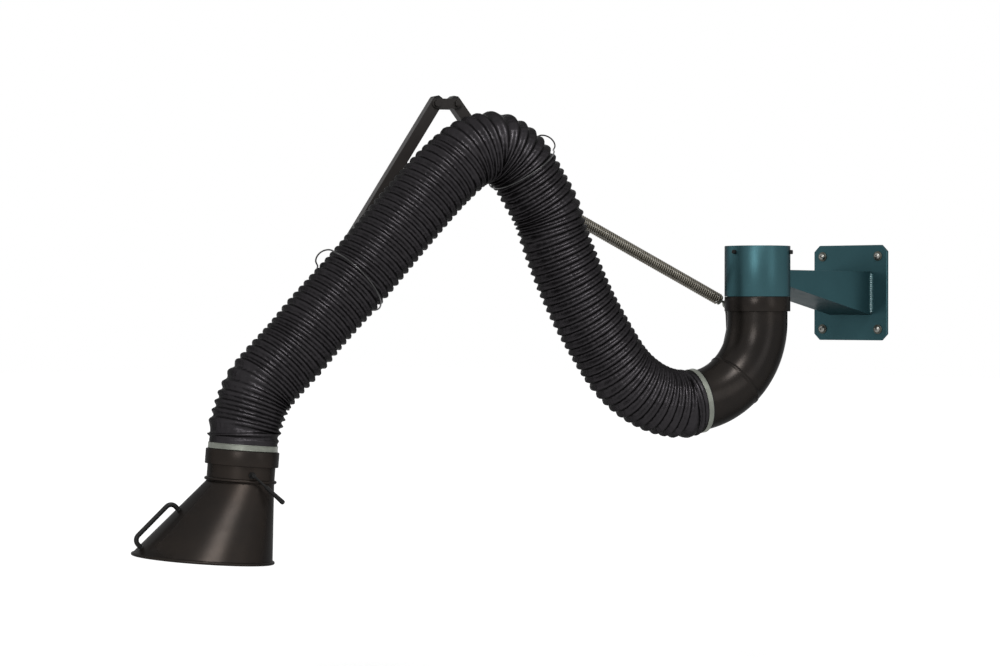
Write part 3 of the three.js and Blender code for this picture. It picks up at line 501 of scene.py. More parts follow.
def new_material(name):
    """An unfinished material, with its tree and its shader."""
    made = bpy.data.materials.new(name)
    made.use_nodes = True
    return made, made.node_tree, made.node_tree.nodes["Principled BSDF"]


def lead_in(tree, shader, mottle, smudge, height, strength, depth):
    """Leads colour, gloss and relief into a shader; the relief's depth is in metres."""
    relief = tree.nodes.new("ShaderNodeBump")
    relief.inputs["Strength"].default_value = strength
    relief.inputs["Distance"].default_value = depth
    tree.links.new(height, relief.inputs["Height"])
    tree.links.new(mottle.outputs["Color"], shader.inputs["Base Color"])
    tree.links.new(smudge.outputs["Roughness"], shader.inputs["Roughness"])
    tree.links.new(relief.outputs["Normal"], shader.inputs["Normal"])


def finish(name, colour, metallic=0.0, gloss=(0.35, 0.5), drift=0.8, speck=1.3, scale=12.0, speck_scale=320.0,
           grain=260.0, slow_grain=35.0, bump=0.05, coat=0.0, tint=(1.0, 1.0, 1.0), specular=0.5, rim=1.0):
    """A painted, plated or moulded finish from the shared groups; a low rim dims the glare at its edges."""
    made, tree, shader = new_material(name)
    vector = tree.nodes.new("ShaderNodeTexCoord").outputs["Object"]
    mottle = placed_group(
        tree, "mottle", vector, scale=scale, main=tone(colour, 1.0), drift=tone(colour, drift, tint),
        speck=tone(colour, speck), speck_scale=speck_scale)
    smudge = placed_group(tree, "smudge", vector, low=gloss[0], high=gloss[1])
    height = placed_group(tree, "grain", vector, scale=grain, slow=slow_grain).outputs["Height"]
    lead_in(tree, shader, mottle, smudge, height, bump, 0.001)
    shader.inputs["Metallic"].default_value = metallic
    shader.inputs["Specular IOR Level"].default_value = specular
    shader.inputs["Specular Tint"].default_value = (rim, rim, rim, 1.0)
    if coat:
        shader.inputs["Coat Weight"].default_value = coat
        shader.inputs["Coat Roughness"].default_value = 0.25
    return made


def surface_vector(tree, along, around):
    """The piece's own UV map stretched to counts along and around it."""
    uv = tree.nodes.new("ShaderNodeUVMap")
    uv.uv_map = "UVMap"
    mapping = tree.nodes.new("ShaderNodeMapping")
    mapping.inputs["Scale"].default_value = (along, around, 1.0)
    tree.links.new(uv.outputs["UV"], mapping.inputs["Vector"])
    return mapping.outputs["Vector"]


def hose_finish():
    """Coated cloth: fine weave, creases that run with the ribs, uneven sheen, little glare at its edges."""
    made, tree, shader = new_material("Hose cloth")
    colour = tuple(colours().hose)
    vector = tree.nodes.new("ShaderNodeTexCoord").outputs["Object"]
    mottle = placed_group(
        tree, "mottle", vector, scale=26.0, main=tone(colour, 1.0), drift=tone(colour, 1.25),
        speck=tone(colour, 1.4), speck_scale=420.0)
    smudge = placed_group(tree, "smudge", vector, scale=34.0, low=0.27, high=0.37)
    creases = noise(tree, surface_vector(tree, 170.0, 40.0), 1.0, 4.0, 0.6)
    weave = placed_group(tree, "grain", vector, scale=900.0, slow=160.0)
    crease_height = maths(tree, "MULTIPLY", creases, 2.2)
    weave_height = maths(tree, "MULTIPLY", weave.outputs["Height"], 0.3)
    height = maths(tree, "ADD", crease_height, weave_height)
    lead_in(tree, shader, mottle, smudge, height, 0.6, 0.0012)
    shader.inputs["Metallic"].default_value = 0.85
    shader.inputs["Specular Tint"].default_value = (0.1, 0.1, 0.1, 1.0)
    return made


FINISH = {}


class FUMEARM_OT_finishes(bpy.types.Operator):
    """Make the finishes that the pieces share"""
    bl_idname = "fume_arm.finishes"
    bl_label = "Finishes"

    def execute(self, context):
        GROUPS.update(mottle=mottle_group(), smudge=smudge_group(), grain=grain_group())
        tints = colours()
        FINISH.update(
            teal=finish(
                "Teal enamel", tuple(tints.teal), metallic=0.75, gloss=(0.31, 0.40), drift=0.88, speck=1.25,
                scale=7.0, speck_scale=420.0, grain=380.0, slow_grain=42.0, specular=0.3, rim=0.2),
            weld=finish(
                "Painted weld", (0.07, 0.14, 0.15), metallic=0.2, gloss=(0.16, 0.3), drift=0.7, speck=1.6,
                scale=60.0, speck_scale=500.0, grain=420.0, slow_grain=160.0, bump=0.4, coat=0.3),
            black=finish(
                "Black enamel", tuple(tints.black), metallic=0.7, gloss=(0.24, 0.32), drift=1.25, speck=1.5,
                scale=8.0, speck_scale=380.0, grain=300.0, slow_grain=30.0, tint=(1.06, 1.0, 0.94),
                specular=0.1, rim=0.12),
            hood=finish(
                "Hood enamel", tuple(tints.black), metallic=0.7, gloss=(0.33, 0.42), drift=1.3, speck=1.5,
                scale=6.0, speck_scale=420.0, grain=340.0, slow_grain=24.0, bump=0.045,
                tint=(1.1, 1.0, 0.92), specular=0.1, rim=0.12),
            bar=finish(
                "Powder coat", tuple(tints.bar), gloss=(0.40, 0.50), drift=1.3, speck=1.6, scale=10.0,
                speck_scale=400.0, grain=500.0, slow_grain=40.0, bump=0.08, specular=0.12),
            zinc=finish(
                "Zinc plate", tuple(tints.steel), metallic=0.9, gloss=(0.42, 0.62), drift=0.82, speck=1.15,
                scale=60.0, speck_scale=700.0, grain=500.0, slow_grain=90.0),
            bolt=finish(
                "Bright bolt", (0.22, 0.22, 0.205), metallic=1.0, gloss=(0.22, 0.38), drift=0.8, speck=1.1,
                scale=120.0, speck_scale=900.0, grain=700.0, slow_grain=120.0, bump=0.04),
            washer=finish(
                "Passivated washer", (0.075, 0.08, 0.07), metallic=0.9, gloss=(0.34, 0.5), drift=0.75,
                speck=1.2, scale=140.0, speck_scale=800.0, grain=600.0, slow_grain=140.0,
                tint=(1.0, 0.95, 0.85)),
            spring=finish(
                "Spring steel", tuple(tints.spring), metallic=0.9, gloss=(0.34, 0.52), drift=0.72, speck=1.2,
                scale=45.0, speck_scale=600.0, grain=600.0, slow_grain=90.0, tint=(1.0, 0.97, 0.9)),
            moulded=finish(
                "Black plastic", tuple(tints.moulded), gloss=(0.36, 0.5), drift=1.4, speck=1.7, scale=40.0,
                speck_scale=800.0, grain=900.0, slow_grain=80.0, bump=0.07, specular=0.14),
            wire=finish(
                "Coated wire", tuple(tints.moulded), gloss=(0.2, 0.32), drift=1.4, speck=1.7, scale=40.0,
                speck_scale=800.0, grain=900.0, slow_grain=80.0, bump=0.03),
            pale=finish(
                "Glide plastic", (0.55, 0.52, 0.44), gloss=(0.4, 0.55), drift=0.9, speck=1.1, scale=60.0,
                speck_scale=600.0, grain=600.0, slow_grain=90.0, bump=0.04),
            cloth=hose_finish(),
        )
        return {"FINISHED"}


class FUMEARM_OT_bracket(bpy.types.Operator):
    """Finish the wall plate and its box, and make the bolts and the weld beads"""
    bl_idname = "fume_arm.bracket"
    bl_label = "Wall bracket"

    def execute(self, context):
        round_edges("wall_plate", 1.2)
        round_edges("bracket_box", 1.6)
        dress(FINISH["teal"], "wall_plate", "bracket_box")
        for index, (sx, sz) in enumerate(((-1, -1), (-1, 1), (1, -1), (1, 1))):
            self.bolt(f"wall_bolt_{index + 1}", sx * BOLT_X, sz * BOLT_Z)
        self.weld()
        return {"FINISHED"}

    def bolt(self, node, x, z):
        """A domed head with a socket, on its washer."""
        stand = Matrix.Translation((x * MM, -PLATE_THICK * MM, z * MM)) @ Matrix.Rotation(math.pi / 2, 4, "X")
        bm = bmesh.new()
        washer = [(6.2, -8.8), (6.2, GAP), (13.0, GAP), (13.0, 2.4), (12.4, 2.8), (0.0, 2.8), (0.0, -8.8)]
        lathe_into(bm, washer, stand, 40, closed=False)
        plain = set(bm.faces)
        head_r, head_low, head_rise = 9.4, 4.0, 6.6
        dome = [(0.0, 2.9), (9.2, 2.9), (head_r, head_low)]
        for a in (0.25, 0.5, 0.75, 1.0, 1.15):
            dome.append((head_r * math.cos(a), head_low + head_rise * math.sin(a)))
        dome += [(3.4, 10.2), (3.2, 7.6), (0.0, 7.4)]
        lathe_into(bm, dome, stand, 40, closed=False)
        for face in bm.faces:
            face.material_index = 0 if face in plain else 1
        bmesh.ops.recalc_face_normals(bm, faces=bm.faces)
        finish_piece(node + "_domed", bm, [FINISH["washer"], FINISH["bolt"]], "wall_bracket", [node])

    def weld(self):
        """Weld beads down both sides of the box, at the plate."""
        rows, bead_r = 72, 5.6
        edge_x, edge_y, low, tall = 68.5, -PLATE_THICK - 2.0, -58.0, 113.0
        bm = bmesh.new()
        for side in (-1, 1):
            spots = [(side * edge_x, edge_y, low + tall * k / rows) for k in range(rows + 1)]
            points = [Vector(spot) * MM for spot in spots]
            crosses = frames_along(points)

            def place(u, v):
                i = round(u * rows)
                across, up = crosses[i]
                angle = 0.0 if v > 1 - 1e-6 else 2 * math.pi * v
                # Ripples of the torch, with a slow uneven sway, and tapered ends
                ripple = 0.9 * math.cos(2 * math.pi * i / 3.6)
                sway = 0.6 * math.sin(0.61 * i + 2.0 * math.sin(0.23 * i))
                fade = min(1.0, (1 + i) / 4, (1 + rows - i) / 4)
                radius = (bead_r + ripple + sway) * fade
                return points[i] + (across * math.cos(angle) + up * math.sin(angle)) * radius * MM

            wrapped(bm, rows, 12, place)
        close_ends(bm)
        finish_piece("bracket_weld", bm, FINISH["weld"], "wall_bracket", flat_angle=1.4)


class FUMEARM_OT_spigot(bpy.types.Operator):
    """Make the top spigot and the swivel collar, and finish the spigot's screws and rings"""
    bl_idname = "fume_arm.spigot"
    bl_label = "Spigot and collar"

    def execute(self, context):
        bm = bmesh.new()
        body = [(SPIGOT_R, SPIGOT_LOW), (SPIGOT_R, SPIGOT_TOP), (SPIGOT_BORE, SPIGOT_TOP),
                (SPIGOT_BORE, LEDGE_TOP), (LEDGE_R, LEDGE_TOP), (LEDGE_R, SPIGOT_LOW)]
        lathe_into(bm, body, FIXED_MATRIX, 96)
        soften(bm, 0.7)
        finish_piece("top_spigot_tube", bm, FINISH["teal"], "wall_bracket", ["top_spigot"])
        bm = bmesh.new()
        bore = DUCT_R + GAP
        ring = [(SPIGOT_R, COLLAR_LOW), (SPIGOT_R, COLLAR_TOP), (bore, COLLAR_TOP), (bore, COLLAR_LOW)]
        lathe_into(bm, ring, FIXED_MATRIX, 96)
        soften(bm, 1.4)
        finish_piece("swivel_collar_ring", bm, FINISH["black"], "swivel", ["swivel_collar"])
        for index in range(3):
            round_edges(f"spigot_screw_{index + 1}", 0.8)
            dress(FINISH["moulded"], f"spigot_screw_{index + 1}")
        dress(FINISH["pale"], "glide_ring")
        dress(FINISH["zinc"], "hanger_ring")
        return {"FINISHED"}


def on_bend(angle, radius):
    """A place on the duct elbow's bend, in the arm's plane."""
    return Vector((ELBOW_BEND_R - radius * math.cos(angle), 0.0, ELBOW_START - radius * math.sin(angle)))


def duct_way(angle):
    return Vector((math.sin(angle), 0.0, -math.cos(angle)))


DUCT_MOUTH = on_bend(ELBOW_ANGLE, ELBOW_BEND_R) + duct_way(ELBOW_ANGLE) * ELBOW_TAIL


class FUMEARM_OT_duct(bpy.types.Operator):
    """Make the duct elbow: a smooth bend with one folded seam"""
    bl_idname = "fume_arm.duct"
    bl_label = "Duct elbow"

    def execute(self, context):
        steps, seam_half, seam_top, seam_lift = 32, 0.02, 0.009, 1.7
        seam = ((-seam_half, 0.0), (-seam_top, seam_lift), (seam_top, seam_lift), (seam_half, 0.0))
        turns = [(ELBOW_ANGLE * k / steps, 0.0) for k in range(steps + 1)]
        turns = [turn for turn in turns if abs(turn[0] - ELBOW_SEAM) > 1.1 * seam_half]
        turns += [(ELBOW_SEAM + angle, lift) for angle, lift in seam]
        stations = [(Vector((0.0, 0.0, SLEEVE_TOP)), 0.0, 0.0)]
        stations += [(on_bend(angle, ELBOW_BEND_R), angle, lift) for angle, lift in sorted(turns)]
        stations.append((DUCT_MOUTH, ELBOW_ANGLE, 0.0))
        skin = [(centre, angle, DUCT_R + lift) for centre, angle, lift in stations]
        skin += [(centre, angle, DUCT_R - SHEET) for centre, angle, lift in reversed(stations) if lift == 0.0]
        bm = bmesh.new()
        rings = [(radius, ARM_MATRIX @ Matrix.Translation(centre * MM) @ Matrix.Rotation(-angle, 4, "Y"))
                 for centre, angle, radius in skin]
        rings_into(bm, rings, 96)
        finish_piece("duct_elbow_bend", bm, FINISH["black"], "swivel", ["duct_elbow"], 0.9)
        return {"FINISHED"}


def hose_line():
    """The hose's centre line in the arm's plane, in millimetres, and its length."""
    up = Vector((math.sin(HOOD_TILT), 0.0, math.cos(HOOD_TILT)))
    way = duct_way(ELBOW_ANGLE)
    lead, clear = 12.0, 1.0
    start = DUCT_MOUTH + way * (HOSE_INSET - ELBOW_TAIL)
    end = Vector((RING_CENTRE[0], 0.0, RING_CENTRE[1])) + up * (RING_HALF + clear)
    in_hood = SPIGOT_UP - RING_HALF - clear
    points = [start + way * s for s in (0.0, ELBOW_TAIL / 2, ELBOW_TAIL, ELBOW_TAIL + lead)]
    points += [Vector((x, 0.0, z)) for x, z in HOSE_ROUTE]
    points += [end + up * s for s in (in_hood + lead, in_hood, in_hood / 2, 0.0)]
    return smooth_path(points)


HOSE_AT, HOSE_LONG = hose_line()


def hose_cross(share):
    """Centre, way and outer side of the hose at a share of its length."""
    step = 4.0 / HOSE_LONG
    low, high = max(share - step, 0.0), min(share + step, 1.0)
    way = (HOSE_AT(high) - HOSE_AT(low)).normalized()
    return HOSE_AT(share), way, Vector((-way.z, 0.0, way.x))


class FUMEARM_OT_hose(bpy.types.Operator):
    """Make the hose's three sections: a helical rib with creased cloth between its turns"""
    bl_idname = "fume_arm.hose"
    bl_label = "Hose"

    wall = 0.6
    rib_sharp = 2.4
    crease_deep = 0.45
    cuff_end = 34.0
    cuff_run = 14.0
    row_step = 2.2
    around = 160
    bore_rows = 24
    bore_clear = 0.8

    def execute(self, context):
        cuts = (0.0, *HOSE_SPLITS, 1.0)
        plan = (
            ("hose_shoulder", "swivel", "lower_arm", 0.10, 0.37),
            ("hose_elbow", "lower_arm", "forearm", 0.46, 0.69),
            ("hose_wrist", "forearm", "hood_joint", 0.78, 0.965),
        )
        for index, (node, before, after, start, end) in enumerate(plan):
            bm = bmesh.new()
            self.section(bm, cuts[index], cuts[index + 1])
            piece = finish_piece(node + "_cloth", bm, FINISH["cloth"], None, [node], 2.0)
            self.spot(start)
            self.spot(end)
            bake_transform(piece)
        return {"FINISHED"}

    def spot(self, share):
        return tuple(at_arm(HOSE_AT(share)))

    def radius(self, share, turn):
        """Outer radius in millimetres at a share of the length and a turn round the hose."""
        valley, crest = sizes().hose_valley / MM, sizes().hose_crest / MM
        pitch = sizes().hose_pitch / MM
        s = share * HOSE_LONG
        phase = s / pitch + turn
        rib = abs(math.cos(math.pi * phase)) ** self.rib_sharp
        angle = 2 * math.pi * turn
        fold = math.floor(phase + 0.5)
        # Two rows of creases with unlike counts, shifted from turn to turn so that they don't line up
        crease = math.sin(23 * angle + 2.3 * math.sin(5 * angle + phase) + 4.7 * fold)
        crease += 0.7 * math.sin(41 * angle + 1.9 * math.sin(phase * 1.3) + 2.9 * fold)
        r = valley + self.wall + (crest - valley) * rib + self.crease_deep * crease * (1 - 0.7 * rib)
        near = min(s, HOSE_LONG - s)
        cuff = min(max((self.cuff_end - near) / self.cuff_run, 0.0), 1.0)
        cuff = cuff * cuff * (3 - 2 * cuff)
        return r + (BAND_IN - 0.2 - r) * cuff

    def section(self, bm, low, high):
        """A stretch of the hose between two shares of its length, with its bore."""
        rows = int(round((high - low) * HOSE_LONG / self.row_step))
        total = rows + self.bore_rows + 2

        def place(u, v):
            i = round(u * total)
            turn = 0.0 if v > 1 - 1e-6 else v
            if i <= rows or i == total:
                share = low if i == total else low + (high - low) * i / rows
                r = self.radius(share, turn)
            else:
                share = high - (high - low) * (i - rows - 1) / self.bore_rows
                r = DUCT_R + self.bore_clear
            centre, _, outer = hose_cross(share)
            angle = 2 * math.pi * turn
            p = centre + (outer * math.cos(angle) + Vector((0.0, 1.0, 0.0)) * math.sin(angle)) * r
            return at_arm(p)

        wrapped(bm, total, self.around, place)
        bmesh.ops.recalc_face_normals(bm, faces=bm.faces)


class FUMEARM_OT_clamps(bpy.types.Operator):
    """Make the two worm-drive hose clamps"""
    bl_idname = "fume_arm.clamps"
    bl_label = "Hose clamps"

    def execute(self, context):
        way = duct_way(ELBOW_ANGLE)
        start = DUCT_MOUTH + way * (HOSE_INSET - ELBOW_TAIL + CLAMP_HALF + 4.0)
        lower = (ARM_MATRIX @ Matrix.Translation(start * MM) @ Matrix.Rotation(math.pi - ELBOW_ANGLE, 4, "Y")
                 @ Matrix.Rotation(math.radians(70), 4, "Z"))
        self.clamp("lower_hose_clamp", lower, "swivel")
        upper = (HOOD_MATRIX @ Matrix.Translation((0.0, 0.0, (RING_HALF + CLAMP_HALF + 2.0) * MM))
                 @ Matrix.Rotation(math.radians(-60), 4, "Z"))
        self.clamp("upper_hose_clamp", upper, "hood_joint")
        return {"FINISHED"}

    def clamp(self, node, matrix, body):
        """A band with rolled edges, its housing and its screw."""
        box_half, box_tall, box_side, screw_up = 12.0, 7.0, 8.0, 4.6
        inside, outside = BAND_IN, BAND_IN + 1.6
        rolled = outside + 0.6
        bm = bmesh.new()
        band = [(outside, -4.8), (outside, 4.8), (rolled, 5.6), (rolled, CLAMP_HALF), (inside, CLAMP_HALF),
                (inside, -CLAMP_HALF), (rolled, -CLAMP_HALF), (rolled, -5.6)]
        lathe_into(bm, band, matrix, 120)
        face = -outside
        block_into(bm, (-box_half, face - box_tall, -box_side), (box_half, face + 0.6, box_side), matrix)
        soften(bm, 0.5, 0.9)
        end = Matrix.Translation((-(box_half + 0.5) * MM, (face - screw_up) * MM, 0.0))
        screw = matrix @ end @ Matrix.Rotation(math.pi / 2, 4, "Y")
        bolt = [(0.0, -6.0), (5.2, -6.0), (5.6, -5.4), (5.6, -0.6), (3.4, 0.4), (3.4, 27.0), (0.0, 27.0)]
        lathe_into(bm, bolt, screw, 6, closed=False)
        bmesh.ops.recalc_face_normals(bm, faces=bm.faces)
        finish_piece(node + "_band", bm, FINISH["zinc"], body, [node])


class FUMEARM_OT_bars(bpy.types.Operator):
    """Finish the bars, caps, link plates and pivots"""
    bl_idname = "fume_arm.bars"
    bl_label = "Bars and pivots"

    def execute(self, context):
        for node, width in (("lower_arm_tube", 2.2), ("forearm_tube", 2.2), ("elbow_plate_front", 0.8),
                            ("elbow_plate_back", 0.8), ("shoulder_plate", 1.0), ("spring_lug", 0.8)):
            round_edges(node, width)
            dress(FINISH["bar"], node)
        for node in ("lower_arm_foot_cap", "lower_arm_top_cap", "forearm_top_cap", "forearm_foot_cap",
                     "wrist_knob"):
            round_edges(node, 1.6)
            dress(FINISH["moulded"], node)
        for node, look in (("elbow_bolt_low", "bar"), ("elbow_bolt_high", "bar"), ("shoulder_bolt", "bar"),
                           ("spring_anchor_pin", "zinc")):
            round_edges(node, 0.8)
            dress(FINISH[look], node)
        dress(FINISH["pale"], "shoulder_disc")
        return {"FINISHED"}


class FUMEARM_OT_spring(bpy.types.Operator):
    """Make the balance spring's coil and finish its eyes"""
    bl_idname = "fume_arm.spring"
    bl_label = "Balance spring"

    def execute(self, context):
        run = Vector((SPRING_TIP[0] - SPRING_ANCHOR[0], 0.0, SPRING_TIP[1] - SPRING_ANCHOR[1]))
        way = run.normalized()
        lift = Vector((-way.z, 0.0, way.x))
        anchor = Vector((SPRING_ANCHOR[0], MECH_Y, SPRING_ANCHOR[1]))
        first, last = SPRING_END_LOW, run.length - SPRING_END_HIGH
        curls, steps = sizes().spring_curls, 14
        radius, wire = sizes().spring_radius / MM, sizes().spring_wire / MM
        points = []
        for i in range(curls * steps + 1):
            angle = 2 * math.pi * i / steps
            p = anchor + way * (first + (last - first) * i / (curls * steps))
            p += Vector((0.0, 1.0, 0.0)) * radius * math.cos(angle) + lift * radius * math.sin(angle)
            points.append(at_arm(p))
        bm = bmesh.new()
        rod_into(bm, points, wire * MM, 8)
        close_ends(bm)
        coil = finish_piece(
            "balance_spring_coil", bm, FINISH["spring"], None, ["balance_spring"], 2.0)
        ends = [anchor + way * s for s in (first, last)]
        spots = [tuple(at_arm(p)) for p in ends]
        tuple(spots[0])
        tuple(spots[1])
        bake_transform(coil)
        for node in ("spring_eye_low", "spring_eye_high"):
            round_edges(node, 0.8)
            dress(FINISH["zinc"], node)
        return {"FINISHED"}


class FUMEARM_OT_hoops(bpy.types.Operator):
    """Make the wire hoops that carry the hose on the bars"""
    bl_idname = "fume_arm.hoops"
    bl_label = "Hose hoops"

    def execute(self, context):
        self.hoop("hose_hoop_low", HOOP_SHARES[0], SHOULDER, KNUCKLE_LOW, "lower_arm")
        self.hoop("hose_hoop_high", HOOP_SHARES[1], KNUCKLE_HIGH, WRIST, "forearm")
        return {"FINISHED"}

    def hoop(self, node, share, bar_from, bar_to, body):
        """A slanted turn of wire round the hose, closed by a loop that stands off, with a tab to the bar."""
        wire = sizes().hoop_wire
        radius = sizes().hose_crest / MM + wire / MM + 0.6
        wrap_from, wrap_to, wrap_step = 18, 342, 12
        loop_from, loop_span, loop_knots = 346.0, 28.0, 8
        loop_half, loop_out, steps, tab_half = 21.0, 20.0, 320, 8.0
        centre, way, outer = hose_cross(share)

        def spot(angle, axial, r):
            a = math.radians(angle)
            return centre + way * axial + outer * r * math.cos(a) + Vector((0.0, r * math.sin(a), 0.0))

        def slant(angle):
            return -loop_half * math.cos(math.pi * (angle - wrap_from) / (wrap_to - wrap_from))

        knots = [spot(a, slant(a), radius) for a in range(wrap_from, wrap_to + 1, wrap_step)]
        for k in range(1, loop_knots):
            turn = math.pi * k / loop_knots
            rise = loop_out * (0.2 + 0.8 * math.sin(turn))
            angle = loop_from + loop_span * k / loop_knots
            knots.append(spot(angle, loop_half * math.cos(turn), radius + rise))
        at, _ = smooth_path(knots, True)
        points = [at(i / steps) for i in range(steps + 1)]
        bm = bmesh.new()
        rod_into(bm, [at_arm(p) for p in points], wire, 12, True)
        back = spot(270, slant(270), radius)
        bar = Vector((bar_to[0] - bar_from[0], 0.0, bar_to[1] - bar_from[1])).normalized()
        foot = Vector((bar_from[0], 0.0, bar_from[1]))
        foot += bar * (back - foot).dot(bar)
        foot.y = MECH_Y + BAR_HALF + GAP
        reach = Vector((back.x - foot.x, 0.0, back.z - foot.z))
        slope = math.atan2(reach.z, reach.x)
        matrix = ARM_MATRIX @ Matrix.Translation(foot * MM) @ Matrix.Rotation(-slope, 4, "Y")
        bmesh.ops.recalc_face_normals(bm, faces=bm.faces)
        tab = bmesh.new()
        tab_end = (reach.length + tab_half, -radius + 1.0 - foot.y, tab_half)
        block_into(tab, (-BAR_HALF, 0.0, -tab_half), tab_end, matrix)
        soften(tab, 1.2)
        scrap = bpy.data.meshes.new("tab")
        tab.to_mesh(scrap)
        tab.free()
        bm.from_mesh(scrap)
        bpy.data.meshes.remove(scrap)
        finish_piece(node + "_wire", bm, FINISH["wire"], body, [node])


class FUMEARM_OT_wrist(bpy.types.Operator):
    """Make the wrist ring with its pivot boss"""
    bl_idname = "fume_arm.wrist"
    bl_label = "Wrist ring"

    def execute(self, context):
        bm = bmesh.new()
        band, skirt, bore, top, low = 90.0, 84.0, DUCT_R + GAP, 15.0, -22.0
        ring = [(band, low), (band, top), (bore, top), (bore, -RING_HALF), (skirt, -RING_HALF), (skirt, low)]
        lathe_into(bm, ring, HOOD_MATRIX, 96)
        soften(bm, 1.6)
        boss = along_side(*WRIST)
        reach = MECH_Y + BAR_HALF + GAP
        boss_r, boss_in, boss_step = 14.0, -86.0, -106.0
        outline = [(0.0, boss_in), (boss_r, boss_in), (boss_r, boss_step), (12.8, reach), (0.0, reach)]
        lathe_into(bm, outline, boss, 40, closed=False)
        bmesh.ops.recalc_face_normals(bm, faces=bm.faces)
        finish_piece("wrist_ring_collar", bm, FINISH["hood"], "hood_joint", ["wrist_ring"])
        dress(FINISH["zinc"], "hose_spigot")
        return {"FINISHED"}


class FUMEARM_OT_hood(bpy.types.Operator):
    """Make the hood's shell and its handle"""
    bl_idname = "fume_arm.hood"
    bl_label = "Hood"

    neck_r = 83.0
    neck_low = -58.0
    mouth_r = 169.0
    mouth_z = -256.0
    lip_tall = 8.0
    bead_tall = 4.5
    lean = 80.0

    def execute(self, context):
        self.shell()
        self.handle()
        return {"FINISHED"}

    def shell(self):
        """Neck, bead, leaning cone and rolled lip as one sheet."""
        neck, low, mouth, bottom, lean = self.neck_r, self.neck_low, self.mouth_r, self.mouth_z, self.lean
        bead_half, bead_out = 5.5, 5.6
        lip_r, lip_drop, lip_out = 4.0, 4.2, 1.4
        rim = -RING_HALF - 2 * GAP
        levels = [(0.0, rim, neck), (0.0, low + bead_half, neck)]
        for degrees in range(-90, 91, 22):
            a = math.radians(degrees)
            levels.append((0.0, low - self.bead_tall * math.sin(a), neck + bead_out * math.cos(a)))
        top, end = low - bead_half, bottom + self.lip_tall
        levels.append((0.0, top, neck))
        for k in range(1, 9):
            t = k / 8
            levels.append((lean * t, top + (end - top) * t, neck + (mouth - neck) * t))
        for degrees in range(60, -181, -30):
            a = math.radians(degrees)
            levels.append((lean, end - lip_drop + lip_r * math.sin(a), mouth + lip_out + lip_r * math.cos(a)))
        levels += [(lean, end, mouth - SHEET), (0.0, top, neck - SHEET), (0.0, rim, neck - SHEET)]
        bm = bmesh.new()
        rings = [(r, HOOD_MATRIX @ Matrix.Translation((x * MM, 0.0, z * MM))) for x, z, r in levels]
        rings_into(bm, rings, 120)
        finish_piece("hood_shell_sheet", bm, FINISH["hood"], "hood", ["hood_shell"], 0.7)

    def handle(self):
        """A bent rod on the cone's long side, with a ring round each foot."""
        top = Vector((self.neck_r, 0.0, self.neck_low - self.bead_tall))
        end = Vector((self.lean + self.mouth_r, 0.0, self.mouth_z + self.lip_tall))
        way = (end - top).normalized()
        out = Vector((-way.z, 0.0, way.x))
        rise, bend, first, last, clear, rod_r = 27.0, 16.0, 102.0, 231.0, 0.1, 6.0
        knots = [top + way * first + out * clear]
        for t, sense in ((first, 1), (last, -1)):
            for k in range(9):
                a = math.radians(180 - 11.25 * k if sense > 0 else 90 - 11.25 * k)
                centre = top + way * (t + sense * bend) + out * (rise - bend)
                knots.append(centre + way * bend * math.cos(a) + out * bend * math.sin(a))
        knots.append(top + way * last + out * clear)
        points = [HOOD_MATRIX @ (p * MM) for p in knots]
        bm = bmesh.new()
        rod_into(bm, points, rod_r * MM, 20)
        close_ends(bm)
        collar = [(0.0, -0.2), (7.6, -0.2), (7.2, 0.8), (6.0, 1.4), (0.0, 1.4)]
        upright = out.to_track_quat("Z", "Y").to_matrix().to_4x4()
        for foot in (knots[0], knots[-1]):
            lathe_into(bm, collar, HOOD_MATRIX @ Matrix.Translation(foot * MM) @ upright, 32, closed=False)
        bmesh.ops.recalc_face_normals(bm, faces=bm.faces)
        finish_piece("hood_handle_rod", bm, FINISH["moulded"], "hood", ["hood_handle"])


